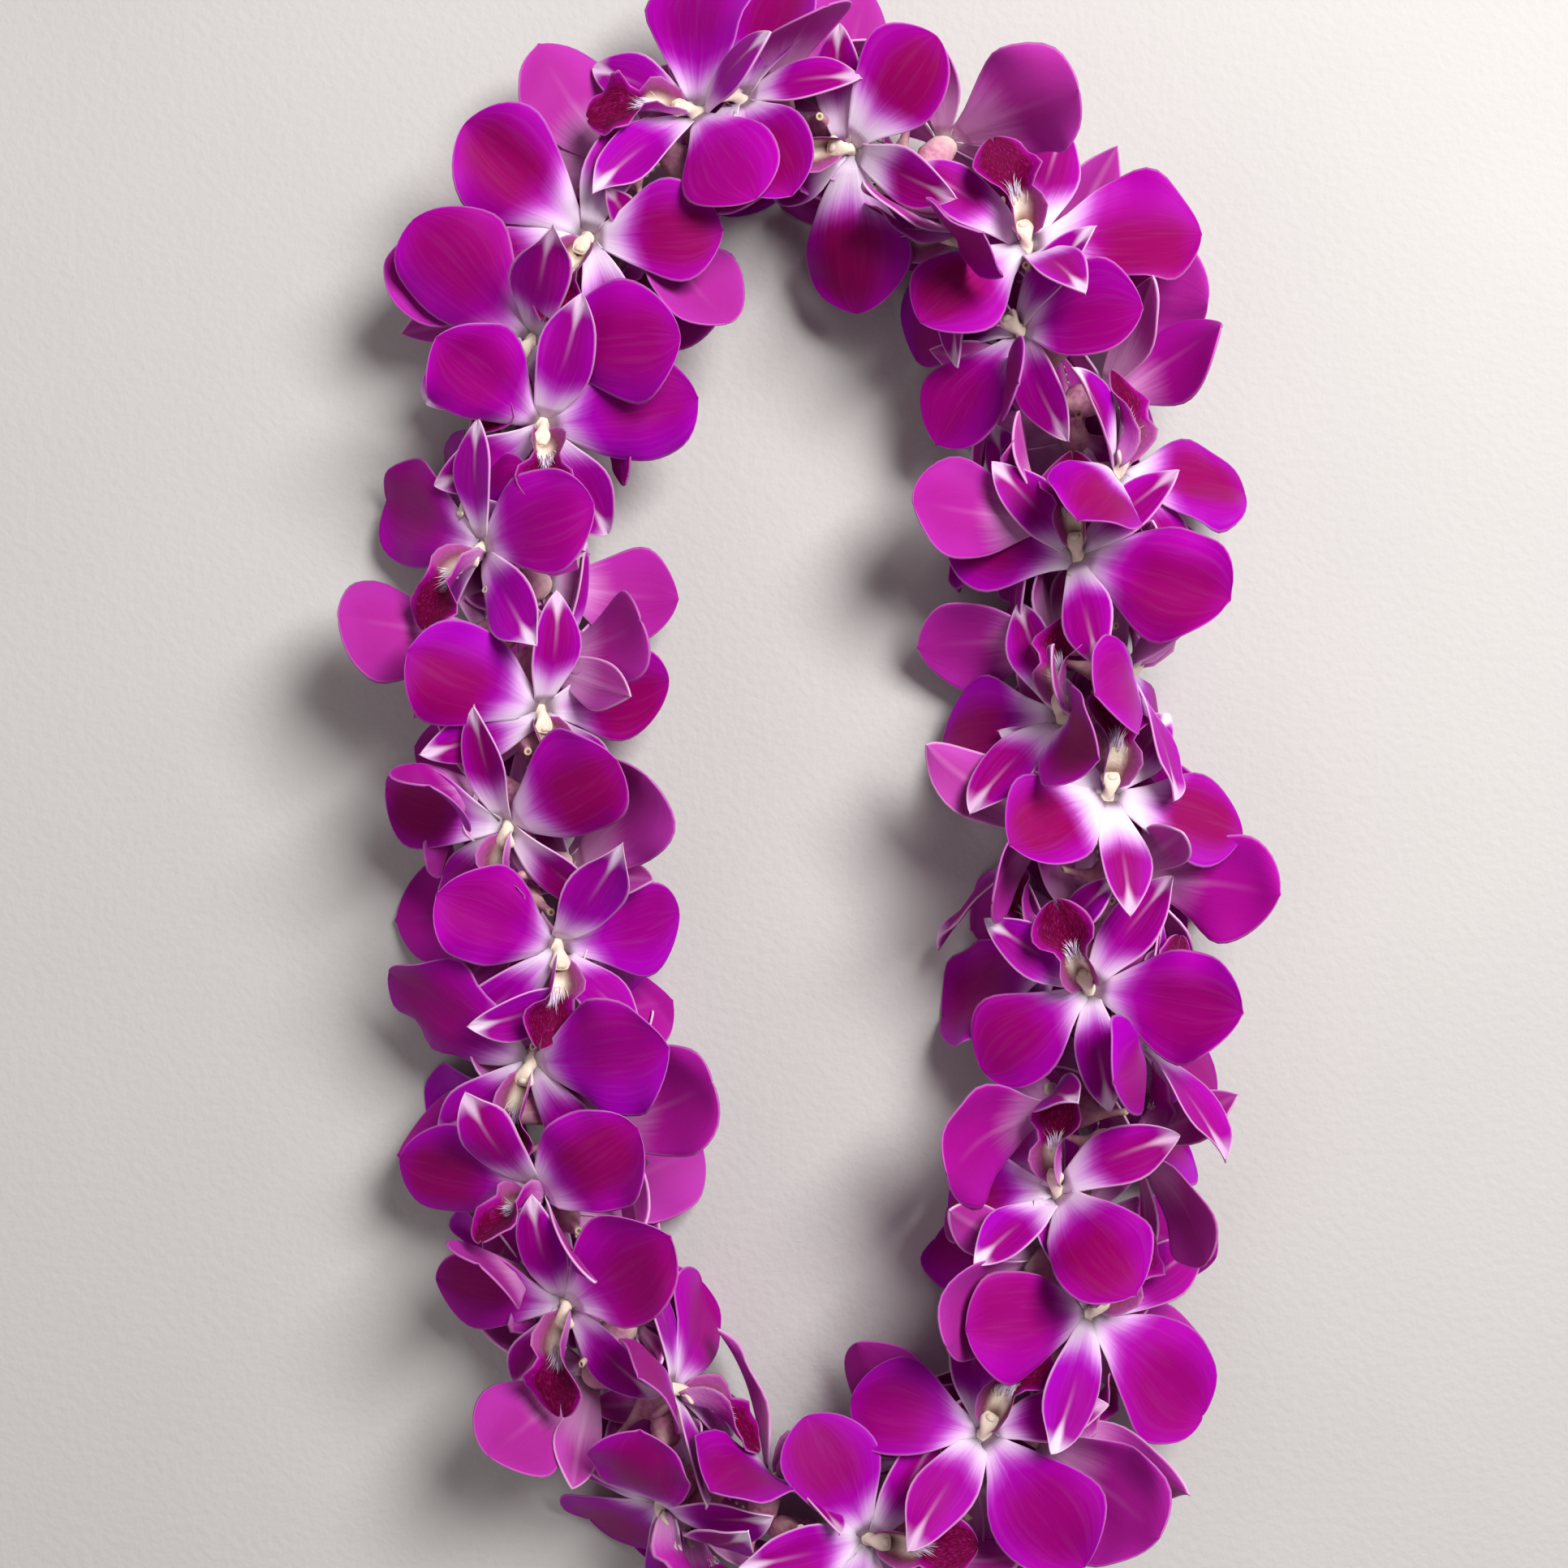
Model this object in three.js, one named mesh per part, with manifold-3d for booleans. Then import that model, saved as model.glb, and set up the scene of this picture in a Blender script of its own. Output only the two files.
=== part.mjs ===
// A fresh double lei: dendrobium orchid blooms strung close together on a cotton thread whose ends are tied in
// a knot. It lies as a long loop on a flat surface. Millimetres, +Z up, the surface at z = 0.
import * as THREE from "three";
import { mergeVertices } from "three/addons/utils/BufferGeometryUtils.js";
import Module from "manifold-3d";

const wasm = await Module();
wasm.setup();

// ---- Driving dimensions: the string ----
const BLOOM_COUNT = 84; // neighbouring blooms are modelled in pairs, so this is an even number
const PAIR_GAP = 8.5; // along the thread, between the blooms of a pair, whose bases press into each other
const THREAD_HEIGHT = 28; // the thread's height above the surface
const THREAD_RADIUS = 0.5;
const THREAD_SIDES = 6;
const THREAD_STEPS = 60;
const HOLE_RADIUS = 1.7; // to the corners of the three-sided hole that the thread runs through
const HOLE_SIDES = 3;
const KNOT_ROOM = 10; // bare thread left for the knot
const KNOT = {
  core: 1.5, loop: 1.6, loopSteps: 9, cord: 0.75, cordSides: 5, tilt: 35, tailSides: 5, tailSteps: 4,
};
// The knot's two cut tails bend over points that lie so far along the thread, outwards and down from it.
const KNOT_TAILS = [
  [[1.5, 2, 0], [3, 7, 3]],
  [[-1.5, 2, 0.5], [-3.5, 6, 5]],
];

// The thread's route, seen from above, clockwise from the knot at the foot of the loop.
const THREAD_ROUTE = [
  [2, -191], [-34, -173], [-60, -128], [-69, -75], [-76, 0], [-80, 62], [-70, 138], [-36, 184],
  [12, 188], [54, 157], [74, 95], [75.5, 15], [78.5, -62], [66, -138], [36, -180],
];
const CENTRING = [0.75, -0.15]; // moves the loop so that the origin is the middle of its footprint

// ---- Driving dimensions: a bloom ----
// Lengths towards its front are from the thread. Angles go round its face, clockwise from the dorsal sepal.
const COLLAR = { front: 8.6, radius: 3.6, rib: 0.7 }; // the ring that the tepals spread from
const COLUMN_TIP = { front: 16.5, dorsal: -1.2 };
const OVARY = { front: -1, dorsal: 4, side: 4.2, chin: 8.5 };
const STALK_END = { front: -14, back: 9, radius: 1.4 }; // where the stalk was cut, swept back along the thread
const BLADE_THICKNESS = 1.1;

// A blade rises from the face by its lift and bends back by its curl, and its edges rise by its cup, in
// degrees. Its outline is a sine drawn out by its peak and filled out by its fullness. Its rows are where its
// sections lie, from 0 at its root to 1 at its tip.
const PETAL = {
  length: 34, width: 27, peak: 1.5, fullness: 0.62, lift: 20, curl: 32, rows: [0.5, 0.85], cup: [4, 4],
};
const SEPAL = {
  length: 31, width: 14, peak: 1.05, fullness: 0.85, lift: 12, curl: 30, rows: [0.4, 0.78], cup: [6, 4],
};
const LOWER_SEPAL = { ...SEPAL, rows: [0.5], cup: [6] };
const LIP = {
  length: 25, width: 20, peak: 0.9, fullness: 0.7, lift: 48, curl: 50, rows: [0.38, 0.76], cup: [60, 8],
};
const BLADES = [
  { angle: 0, seam: 34, ...SEPAL }, // the seam is where a blade's root meets the next one's
  { angle: 68, seam: 103, ...PETAL },
  { angle: 138, seam: 159, ...LOWER_SEPAL },
  { angle: 180, seam: 201, ...LIP },
  { angle: 222, seam: 257, ...LOWER_SEPAL },
  { angle: 292, seam: 326, ...PETAL },
];
const LIP_INDEX = 3;
const PLACING_ORDER = [LIP_INDEX, 1, 5, 0, 2, 4]; // in which a bloom's blades find their room
const before = (index) => (index + BLADES.length - 1) % BLADES.length; // the blade on its left

// ---- Driving dimensions: how the blooms face ----
// These blooms lie uppermost: millimetres along the thread, and degrees turned up from facing outwards.
const UPPERMOST = [
  [39, 30], [94, 62], [128, 62], [162, 64], [194, 118], [228, 58], [259, 128], [301, 45], [328, 108],
  [354, 70], [388, 95], [424, 55], [445, 60], [472, 130], [527, 80], [550, 140], [593, 45], [607, 118],
  [657, 125], [679, 70], [725, 112], [738, 20], [788, 140], [815, 60], [861, 112], [899, 90],
];
// The rest face inwards, down and outwards by turns: degrees, and how far through them each one moves on.
const OTHERS = { from: 148, range: 230, step: 0.618034 };
const BACK_TILT = 14; // degrees that a face leans back, so that its upper tepals overlie the next bloom
const SCATTER = { azimuth: 8, tilt: 5, roll: 16, lift: 7, swing: 5, curl: 16, twist: 14, cup: 10 }; // degrees
const SEED = 2025;

// ---- Driving dimensions: how the blades make room for each other ----
const CLEARANCE = 0.2; // every solid is kept this much clear of others, from each side
const HEART_ROOM = 3.5; // kept free round the face of a bloom's heart, so that its own blades can leave it
const THREAD_ROOM = 1.4; // kept free from the middle of the thread
const KNOT_SPACE = 3.5; // kept free from the middle of the knot
const MOST_UNDER = 5; // how far below the surface a blade may reach before it is pressed flat on it
const LIFTS = [0, 12, -10, 24, -20, 36, 50, -32, 64, 78];
const SWINGS = [0, 10, -10, 20, -20, 32, -32];
const TWISTS = [0, 25, -25, 50, -50];
const SIZES = [1, 0.86, 0.72, 0.58, 0.46, 0.36];

const UP = new THREE.Vector3(0, 0, 1);
const radians = THREE.MathUtils.degToRad;
const sum = (start, ...terms) =>
  terms.reduce((total, [vector, scale]) => total.addScaledVector(vector, scale), start.clone());
const mix = (...terms) => sum(new THREE.Vector3(), ...terms);

// A seeded draw between minus and plus a spread, so that the lei is the same each time it is made.
function makeDraw(seed) {
  let state = seed;
  return function draw(spread) {
    state = (state + 0x6d2b79f5) >>> 0;
    let bits = Math.imul(state ^ (state >>> 15), state | 1);
    bits = (bits ^ (bits + Math.imul(bits ^ (bits >>> 7), bits | 61))) >>> 0;
    bits = (bits ^ (bits >>> 14)) >>> 0;
    return spread * ((2 * bits) / 4294967296 - 1);
  };
}

// ---- The thread's path ----
const [shiftX, shiftY] = CENTRING;
const routePoints = THREAD_ROUTE.map(([x, y]) => new THREE.Vector3(x + shiftX, y + shiftY, THREAD_HEIGHT));
const path = new THREE.CatmullRomCurve3(routePoints, true, "catmullrom", 0.5);
const threadLength = path.getLength();

// The path without the little that the knot takes up.
class StrungThread extends THREE.Curve {
  getPoint(t, target) {
    const trim = KNOT.core / 2 / threadLength;
    return path.getPointAt(trim + (1 - 2 * trim) * t, target);
  }
}

// ---- Where each bloom sits and how it faces ----
function spaceBlooms() {
  const pairPitch = (threadLength - KNOT_ROOM) / (BLOOM_COUNT / 2);
  return Array.from({ length: BLOOM_COUNT }, (_, index) => {
    const pair = Math.floor(index / 2);
    const distance = KNOT_ROOM / 2 + pairPitch * (pair + 0.5) + (index % 2 ? 0.5 : -0.5) * PAIR_GAP;
    return { pair, distance };
  });
}
function turnBlooms(blooms) {
  for (const [distance, azimuth] of UPPERMOST) {
    const away = (bloom) => Math.abs(bloom.distance - distance);
    blooms.reduce((best, bloom) => (away(bloom) < away(best) ? bloom : best)).azimuth = azimuth;
  }
  let turn = 0;
  for (const bloom of blooms.filter(({ azimuth }) => azimuth === undefined)) {
    turn = (turn + OTHERS.step) % 1;
    bloom.azimuth = OTHERS.from + OTHERS.range * turn;
  }
}
// A bloom's own axes point to its dorsal sepal, its right and its front.
function orientBloom(bloom, draw) {
  const azimuth = radians(bloom.azimuth + draw(SCATTER.azimuth));
  const tilt = radians(BACK_TILT + draw(SCATTER.tilt));
  const roll = radians(draw(SCATTER.roll));
  const along = path.getTangentAt(bloom.distance / threadLength);
  const outward = new THREE.Vector3().crossVectors(UP, along).normalize();
  const face = mix([outward, Math.cos(azimuth)], [UP, Math.sin(azimuth)]);
  const level = mix([along, Math.cos(tilt)], [face, Math.sin(tilt)]);
  bloom.centre = path.getPointAt(bloom.distance / threadLength);
  bloom.front = mix([face, Math.cos(tilt)], [along, -Math.sin(tilt)]);
  const side = new THREE.Vector3().crossVectors(bloom.front, level);
  bloom.dorsal = mix([level, Math.cos(roll)], [side, Math.sin(roll)]);
  bloom.right = new THREE.Vector3().crossVectors(bloom.dorsal, bloom.front);
  bloom.height = Math.sin(azimuth);
}
// Each blade's mood is how it differs from others of its kind.
function drawMoods(bloom, draw) {
  const kinds = ["lift", "swing", "curl", "twist", "cup"];
  bloom.moods = BLADES.map(() => Object.fromEntries(kinds.map((kind) => [kind, draw(SCATTER[kind])])));
}
function makeBlooms() {
  const draw = makeDraw(SEED);
  const blooms = spaceBlooms();
  turnBlooms(blooms);
  for (const bloom of blooms) {
    orientBloom(bloom, draw);
    drawMoods(bloom, draw);
  }
  return blooms;
}

// A point of a bloom, by how far it lies towards its dorsal sepal, its right and its front, or round its face.
function at(bloom, dorsal, right, front) {
  return sum(bloom.centre, [bloom.dorsal, dorsal], [bloom.right, right], [bloom.front, front]);
}
function round(bloom, angle, radius, front) {
  return at(bloom, radius * Math.cos(radians(angle)), radius * Math.sin(radians(angle)), front);
}

// ---- Solids between four-cornered rings ----
// A blade's corners are its left edge, front, right edge and back. Each side is split from its edge to its
// middle, alike on the front and the back.
const CORNERS = [0, 1, 2, 3];
const ring = (index) => CORNERS.map((corner) => 4 * index + corner);
function bandTriangles(a, b) {
  return [[0, 1], [2, 1], [2, 3], [0, 3]].flatMap(([edge, middle]) => {
    const split = [[a[edge], a[middle], b[middle]], [a[edge], b[middle], b[edge]]];
    return (middle - edge + 4) % 4 === 1 ? split : split.map(([i, j, k]) => [i, k, j]);
  });
}
const capTriangles = ([a, b, c, d]) => [[a, c, b], [a, d, c]];
// A solid of so many rings that runs out to a point, open at its first ring.
function taperTriangles(rings) {
  const bands = CORNERS.slice(1, rings).flatMap((index) => bandTriangles(ring(index - 1), ring(index)));
  const last = ring(rings - 1);
  return [...bands, ...CORNERS.map((corner) => [last[corner], last[(corner + 1) % 4], 4 * rings])];
}

// A shape is a solid's corners, triangles and edges, and the box that holds them.
function shapeOf(corners, triangles, isFree = () => true) {
  const sides = triangles.flatMap(([i, j, k]) => [[i, j], [j, k], [k, i]]);
  const edges = sides.filter(([i, j]) => i < j && isFree(i, j));
  return { corners, triangles, edges, box: new THREE.Box3().setFromPoints(corners) };
}

// The four corners of a blade's root on the collar.
function rootRing(bloom, index) {
  const { angle, seam } = BLADES[index];
  const { radius, front, rib } = COLLAR;
  const seamBefore = BLADES[before(index)].seam;
  return [
    round(bloom, seamBefore, radius, front), round(bloom, angle, radius, front + rib),
    round(bloom, seam, radius, front), round(bloom, angle, radius, front - rib),
  ];
}

// Half a blade's width at t, from 0 at its root to 1 at its tip.
function halfWidth({ width, peak, fullness }, t) {
  return (width / 2) * Math.pow(Math.sin(Math.PI * Math.pow(t, peak)), fullness);
}

// A blade as it is bent, and grown a little on all sides where that is asked for.
function bladeShape(bloom, index, bend, grow) {
  const blade = BLADES[index];
  const swing = radians(blade.angle + bend.swing);
  const out = mix([bloom.dorsal, Math.cos(swing)], [bloom.right, Math.sin(swing)]);
  const across = mix([bloom.right, Math.cos(swing)], [bloom.dorsal, -Math.sin(swing)]);
  const lift = radians(bend.lift);
  const curl = radians(bend.curl);
  const length = blade.length * bend.size;
  const start = round(bloom, blade.angle, COLLAR.radius, COLLAR.front);
  // the middle line is an arc: its chord rises by the lift less half of what the blade has curled
  const spine = (t) => {
    const half = (curl * t) / 2;
    const chord = (length * t * Math.sin(half)) / half;
    return sum(start, [out, chord * Math.cos(lift - half)], [bloom.front, chord * Math.sin(lift - half)]);
  };
  const corners = rootRing(bloom, index);
  blade.rows.forEach((t, row) => {
    const slope = lift - curl * t;
    const twist = radians(bend.twist) * t;
    const cup = radians(blade.cup[row] + bend.cup);
    const normal = mix([bloom.front, Math.cos(slope)], [out, -Math.sin(slope)]);
    const wide = mix([across, Math.cos(twist)], [normal, Math.sin(twist)]);
    const proud = mix([normal, Math.cos(twist)], [across, -Math.sin(twist)]);
    const half = halfWidth(blade, t) * bend.size + grow;
    const thick = BLADE_THICKNESS / 2 + grow;
    const middle = spine(t);
    const edge = (side) => sum(middle, [wide, side * half * Math.cos(cup)], [proud, half * Math.sin(cup)]);
    corners.push(edge(-1), sum(middle, [proud, thick]), edge(1), sum(middle, [proud, -thick]));
  });
  corners.push(spine(1 + grow / length));
  const deepest = Math.min(...corners.map(({ z }) => z));
  pressOnSurface(corners);
  const shape = shapeOf(corners, taperTriangles(blade.rows.length + 1), (i, j) => i > 3 || j > 3);
  return { ...shape, deepest };
}

// What would reach below the surface lies along it. A section's front and back keep their distance.
function pressOnSurface(corners) {
  for (let first = 4; first + 3 < corners.length; first += 4) {
    const [left, front, right, back] = corners.slice(first, first + 4);
    const under = Math.min(0, front.z, back.z);
    front.z -= under;
    back.z -= under;
    left.z = Math.max(0, left.z);
    right.z = Math.max(0, right.z);
  }
  const tip = corners.at(-1);
  tip.z = Math.max(0, tip.z);
}

// The corners of the ovary with its chin, and of the stalk's cut end: left, dorsal side, right, chin side.
function ovaryRing(bloom, grow) {
  const { front, dorsal, side, chin } = OVARY;
  return [
    at(bloom, 0, -side - grow, front), at(bloom, dorsal + grow, 0, front),
    at(bloom, 0, side + grow, front), at(bloom, -chin - grow, 0, front),
  ];
}
function stalkRing(bloom, grow) {
  const { front, back, radius } = STALK_END;
  const reach = radius + grow;
  const end = front - grow;
  return [
    at(bloom, -back, -reach, end), at(bloom, reach - back, 0, end),
    at(bloom, -back, reach, end), at(bloom, -reach - back, 0, end),
  ];
}

// A bloom's heart, which the blades of others stay clear of.
function heartShape(bloom) {
  const room = COLLAR.radius + HEART_ROOM;
  const collar = [270, 0, 90, 180].map((angle) => round(bloom, angle, room, COLLAR.front));
  const tip = at(bloom, COLUMN_TIP.dorsal, 0, COLUMN_TIP.front + CLEARANCE);
  const corners = [...stalkRing(bloom, CLEARANCE), ...ovaryRing(bloom, CLEARANCE), ...collar, tip];
  return shapeOf(corners, [...capTriangles(ring(0)), ...taperTriangles(3)]);
}

// A straight four-sided bar, which the blades stay clear of.
function barShape(from, to, radius) {
  const along = sum(to, [from, -1]);
  const side = new THREE.Vector3().crossVectors(UP, along).normalize();
  const above = new THREE.Vector3().crossVectors(along, side).normalize();
  const reach = [[side, -radius], [above, radius], [side, radius], [above, -radius]];
  const corners = [from, to].flatMap((end) => reach.map((term) => sum(end, term)));
  return shapeOf(corners, [
    ...capTriangles(ring(0)), ...bandTriangles(ring(0), ring(1)), ...capTriangles(ring(1)),
  ]);
}

// ---- Do two shapes' surfaces cross? ----
function segmentCrossesTriangle(p, q, a, b, c) {
  const ux = b.x - a.x, uy = b.y - a.y, uz = b.z - a.z;
  const vx = c.x - a.x, vy = c.y - a.y, vz = c.z - a.z;
  const nx = uy * vz - uz * vy, ny = uz * vx - ux * vz, nz = ux * vy - uy * vx;
  const start = nx * (p.x - a.x) + ny * (p.y - a.y) + nz * (p.z - a.z);
  const end = nx * (q.x - a.x) + ny * (q.y - a.y) + nz * (q.z - a.z);
  if (start * end > 0 || start === end) return false;
  const share = start / (start - end);
  const wx = p.x + share * (q.x - p.x) - a.x;
  const wy = p.y + share * (q.y - p.y) - a.y;
  const wz = p.z + share * (q.z - p.z) - a.z;
  const uu = ux * ux + uy * uy + uz * uz, uv = ux * vx + uy * vy + uz * vz, vv = vx * vx + vy * vy + vz * vz;
  const wu = wx * ux + wy * uy + wz * uz, wv = wx * vx + wy * vy + wz * vz;
  const area = uu * vv - uv * uv;
  const s = (vv * wu - uv * wv) / area;
  const t = (uu * wv - uv * wu) / area;
  return s >= 0 && t >= 0 && s + t <= 1;
}
// Blades of one bloom share the corners of their roots, and what only meets there doesn't cross.
const together = (p, q) => p.x === q.x && p.y === q.y && p.z === q.z;
function edgesCross(one, other) {
  for (const [i, j] of one.edges) {
    const p = one.corners[i], q = one.corners[j];
    for (const [k, l, m] of other.triangles) {
      const a = other.corners[k], b = other.corners[l], c = other.corners[m];
      if (!segmentCrossesTriangle(p, q, a, b, c)) continue;
      if (![a, b, c].some((corner) => together(corner, p) || together(corner, q))) return true;
    }
  }
  return false;
}
function cross(one, other) {
  return one.box.intersectsBox(other.box) && (edgesCross(one, other) || edgesCross(other, one));
}

// ---- Stringing: from the top down, each blade takes the least bend that keeps it clear of what is there ----
function effort({ lift, swing, twist, size }) {
  // of two bends that are mirror images, the one outwards and to the right comes second
  const bending = Math.abs(lift + 0.3) + 1.3 * Math.abs(swing + 0.2) + 0.5 * Math.abs(twist + 0.1);
  return bending + 250 * (1 - size);
}
const BENDS = SIZES.flatMap((size) => SWINGS.flatMap((swing) =>
  LIFTS.flatMap((lift) => TWISTS.map((twist) => ({ lift, swing, twist, size }))),
));
BENDS.sort((one, other) => effort(one) - effort(other));

function bendsInMood(bloom, index) {
  const { angle, lift, curl } = BLADES[index];
  const mood = bloom.moods[index];
  const mirror = angle > 180 ? -1 : 1; // a left blade bends as a right one does in a mirror
  return BENDS.map((bend) => ({
    lift: lift + mood.lift + bend.lift,
    swing: (mood.swing + bend.swing) * mirror,
    curl: curl + mood.curl,
    twist: (mood.twist + bend.twist) * mirror,
    cup: index === LIP_INDEX ? 0 : mood.cup,
    size: bend.size,
  }));
}

function stringBlooms(blooms, obstacles) {
  const hearts = blooms.map((bloom) => ({ bloom, shape: heartShape(bloom) }));
  const placed = [...hearts, ...obstacles.map((shape) => ({ shape }))];
  for (const bloom of [...blooms].sort((one, other) => other.height - one.height)) {
    bloom.blades = [];
    for (const index of PLACING_ORDER) {
      for (const bend of bendsInMood(bloom, index)) {
        const blade = bladeShape(bloom, index, bend, 0);
        if (blade.deepest < -MOST_UNDER || bloom.blades.some((own) => own && cross(blade, own))) continue;
        const grown = bladeShape(bloom, index, bend, CLEARANCE);
        if (placed.some((other) => other.bloom !== bloom && cross(grown, other.shape))) continue;
        bloom.blades[index] = blade;
        placed.push({ bloom, shape: grown });
        break;
      }
    }
  }
}

// ---- A bloom as one closed surface: blades round a collar, the column in front, ovary and stalk behind ----
const OVARY_CORNER = [1, 2, 3, 3, 0, 1]; // the corner of the ovary that lies behind each seam
function bloomSurface(bloom) {
  const corners = [], triangles = [];
  const add = (corner) => corners.push(corner) - 1;
  const seams = BLADES.map(({ seam }) => add(round(bloom, seam, COLLAR.radius, COLLAR.front)));
  const columnTip = add(at(bloom, COLUMN_TIP.dorsal, 0, COLUMN_TIP.front));
  const ovary = ovaryRing(bloom, 0).map(add);
  const stalk = stalkRing(bloom, 0).map(add);
  BLADES.forEach((_, index) => {
    const [from, to] = [seams[before(index)], seams[index]];
    const [ovaryFrom, ovaryTo] = [ovary[OVARY_CORNER[before(index)]], ovary[OVARY_CORNER[index]]];
    const root = rootRing(bloom, index);
    const [front, back] = [add(root[1]), add(root[3])];
    triangles.push([front, from, columnTip], [to, front, columnTip]);
    triangles.push([from, back, ovaryFrom], [back, to, ovaryTo]);
    if (ovaryFrom !== ovaryTo) triangles.push([back, ovaryTo, ovaryFrom]);
    const blade = bloom.blades[index];
    if (blade) {
      const shared = [from, front, to, back, ...blade.corners.slice(4).map(add)];
      triangles.push(...blade.triangles.map((triangle) => triangle.map((corner) => shared[corner])));
    } else triangles.push(...capTriangles([back, to, front, from]));
  });
  triangles.push(...bandTriangles(ovary, stalk), ...capTriangles([...stalk].reverse()));
  return { corners, triangles };
}

// ---- Joining and cutting ----
const MERGE_DISTANCE = 1e-4;
function solidOf(vertProperties, triVerts) {
  return new wasm.Manifold(new wasm.Mesh({ numProp: 3, vertProperties, triVerts }));
}
function solidOfSurface({ corners, triangles }) {
  const positions = corners.flatMap(({ x, y, z }) => [x, y, z]);
  return solidOf(new Float32Array(positions), new Uint32Array(triangles.flat()));
}
function solidOfGeometry(geometry) {
  const bare = geometry.clone();
  bare.deleteAttribute("normal");
  bare.deleteAttribute("uv");
  const merged = mergeVertices(bare, MERGE_DISTANCE);
  return solidOf(merged.attributes.position.array, new Uint32Array(merged.index.array));
}
function meshOf(name, solid, material) {
  const { vertProperties, triVerts } = solid.getMesh();
  const geometry = new THREE.BufferGeometry();
  geometry.setAttribute("position", new THREE.BufferAttribute(vertProperties, 3));
  geometry.setIndex(new THREE.BufferAttribute(triVerts, 1));
  geometry.computeVertexNormals();
  const mesh = new THREE.Mesh(geometry, material);
  mesh.name = name;
  return mesh;
}

function tube(curve, radius, sides, steps) {
  const section = new THREE.Shape();
  for (let side = 0; side < sides; side++) {
    const angle = (2 * Math.PI * side) / sides;
    if (side) section.lineTo(radius * Math.cos(angle), radius * Math.sin(angle));
    else section.moveTo(radius * Math.cos(angle), radius * Math.sin(angle));
  }
  return new THREE.ExtrudeGeometry(section, { steps, extrudePath: curve, bevelEnabled: false });
}

// ---- The thread and its knot ----
const strung = new StrungThread();
const knotPlace = path.getPointAt(0);
const knotAlong = path.getTangentAt(0);
const knotOutward = new THREE.Vector3().crossVectors(UP, knotAlong);

function tailPoints(tail) {
  const bends = tail.map(([along, outward, down]) =>
    sum(knotPlace, [knotAlong, along], [knotOutward, outward], [UP, -down]));
  return [knotPlace, ...bends];
}
function threadObstacles() {
  const stops = strung.getSpacedPoints(THREAD_STEPS);
  const bars = stops.slice(1).map((stop, index) => barShape(stops[index], stop, THREAD_ROOM));
  const tails = KNOT_TAILS.map((tail) => barShape(knotPlace, tailPoints(tail).at(-1), THREAD_ROOM));
  const knotEnds = [-KNOT_SPACE, KNOT_SPACE].map((reach) => sum(knotPlace, [knotAlong, reach]));
  return [...bars, ...tails, barShape(...knotEnds, KNOT_SPACE)];
}
function threadSolid() {
  const pieces = [
    tube(strung, THREAD_RADIUS, THREAD_SIDES, THREAD_STEPS),
    new THREE.IcosahedronGeometry(KNOT.core).translate(...knotPlace),
  ];
  for (const side of [-1, 1]) {
    const facing = knotAlong.clone().applyAxisAngle(UP, side * radians(KNOT.tilt));
    const loop = new THREE.TorusGeometry(KNOT.loop, KNOT.cord, KNOT.cordSides, KNOT.loopSteps);
    pieces.push(loop.lookAt(facing).translate(...knotPlace));
  }
  for (const tail of KNOT_TAILS) {
    const curve = new THREE.QuadraticBezierCurve3(...tailPoints(tail));
    pieces.push(tube(curve, THREAD_RADIUS, KNOT.tailSides, KNOT.tailSteps));
  }
  return pieces.map(solidOfGeometry).reduce((whole, piece) => whole.add(piece));
}

// ---- The lei ----
const blooms = makeBlooms();
stringBlooms(blooms, threadObstacles());

const lei = new THREE.Group();
const hole = solidOfGeometry(tube(strung, HOLE_RADIUS, HOLE_SIDES, THREAD_STEPS));
for (let pair = 0; pair < BLOOM_COUNT / 2; pair++) {
  const ofPair = blooms.filter((bloom) => bloom.pair === pair);
  const [one, other] = ofPair.map(bloomSurface).map(solidOfSurface);
  const petals = new THREE.MeshStandardMaterial({ color: 0xa8149b, roughness: 0.55, metalness: 0 });
  const name = `blooms_${String(pair + 1).padStart(2, "0")}`;
  lei.add(meshOf(name, one.add(other).subtract(hole), petals));
}
const cotton = new THREE.MeshStandardMaterial({ color: 0xf1ece2, roughness: 0.9, metalness: 0 });
lei.add(meshOf("thread", threadSolid(), cotton));

export default lei;
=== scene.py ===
# %% [markdown]
# # A fresh orchid lei
#
# A lei is a garland to wear round the neck. This one is a double lei: dendrobium orchid blooms are threaded
# through their hearts, so close together that their petals overlap like shingles and hide the thread. The
# construction model holds the thread's route and a plain solid for each pair of blooms. Here every bloom
# gets its real petals: thin, cupped, waved and veined, each grown from the place and bend of its plain
# blade.

# %% Load the construction model
import math
from types import SimpleNamespace

import bpy
import numpy as np
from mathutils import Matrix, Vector, bvhtree, kdtree


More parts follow.
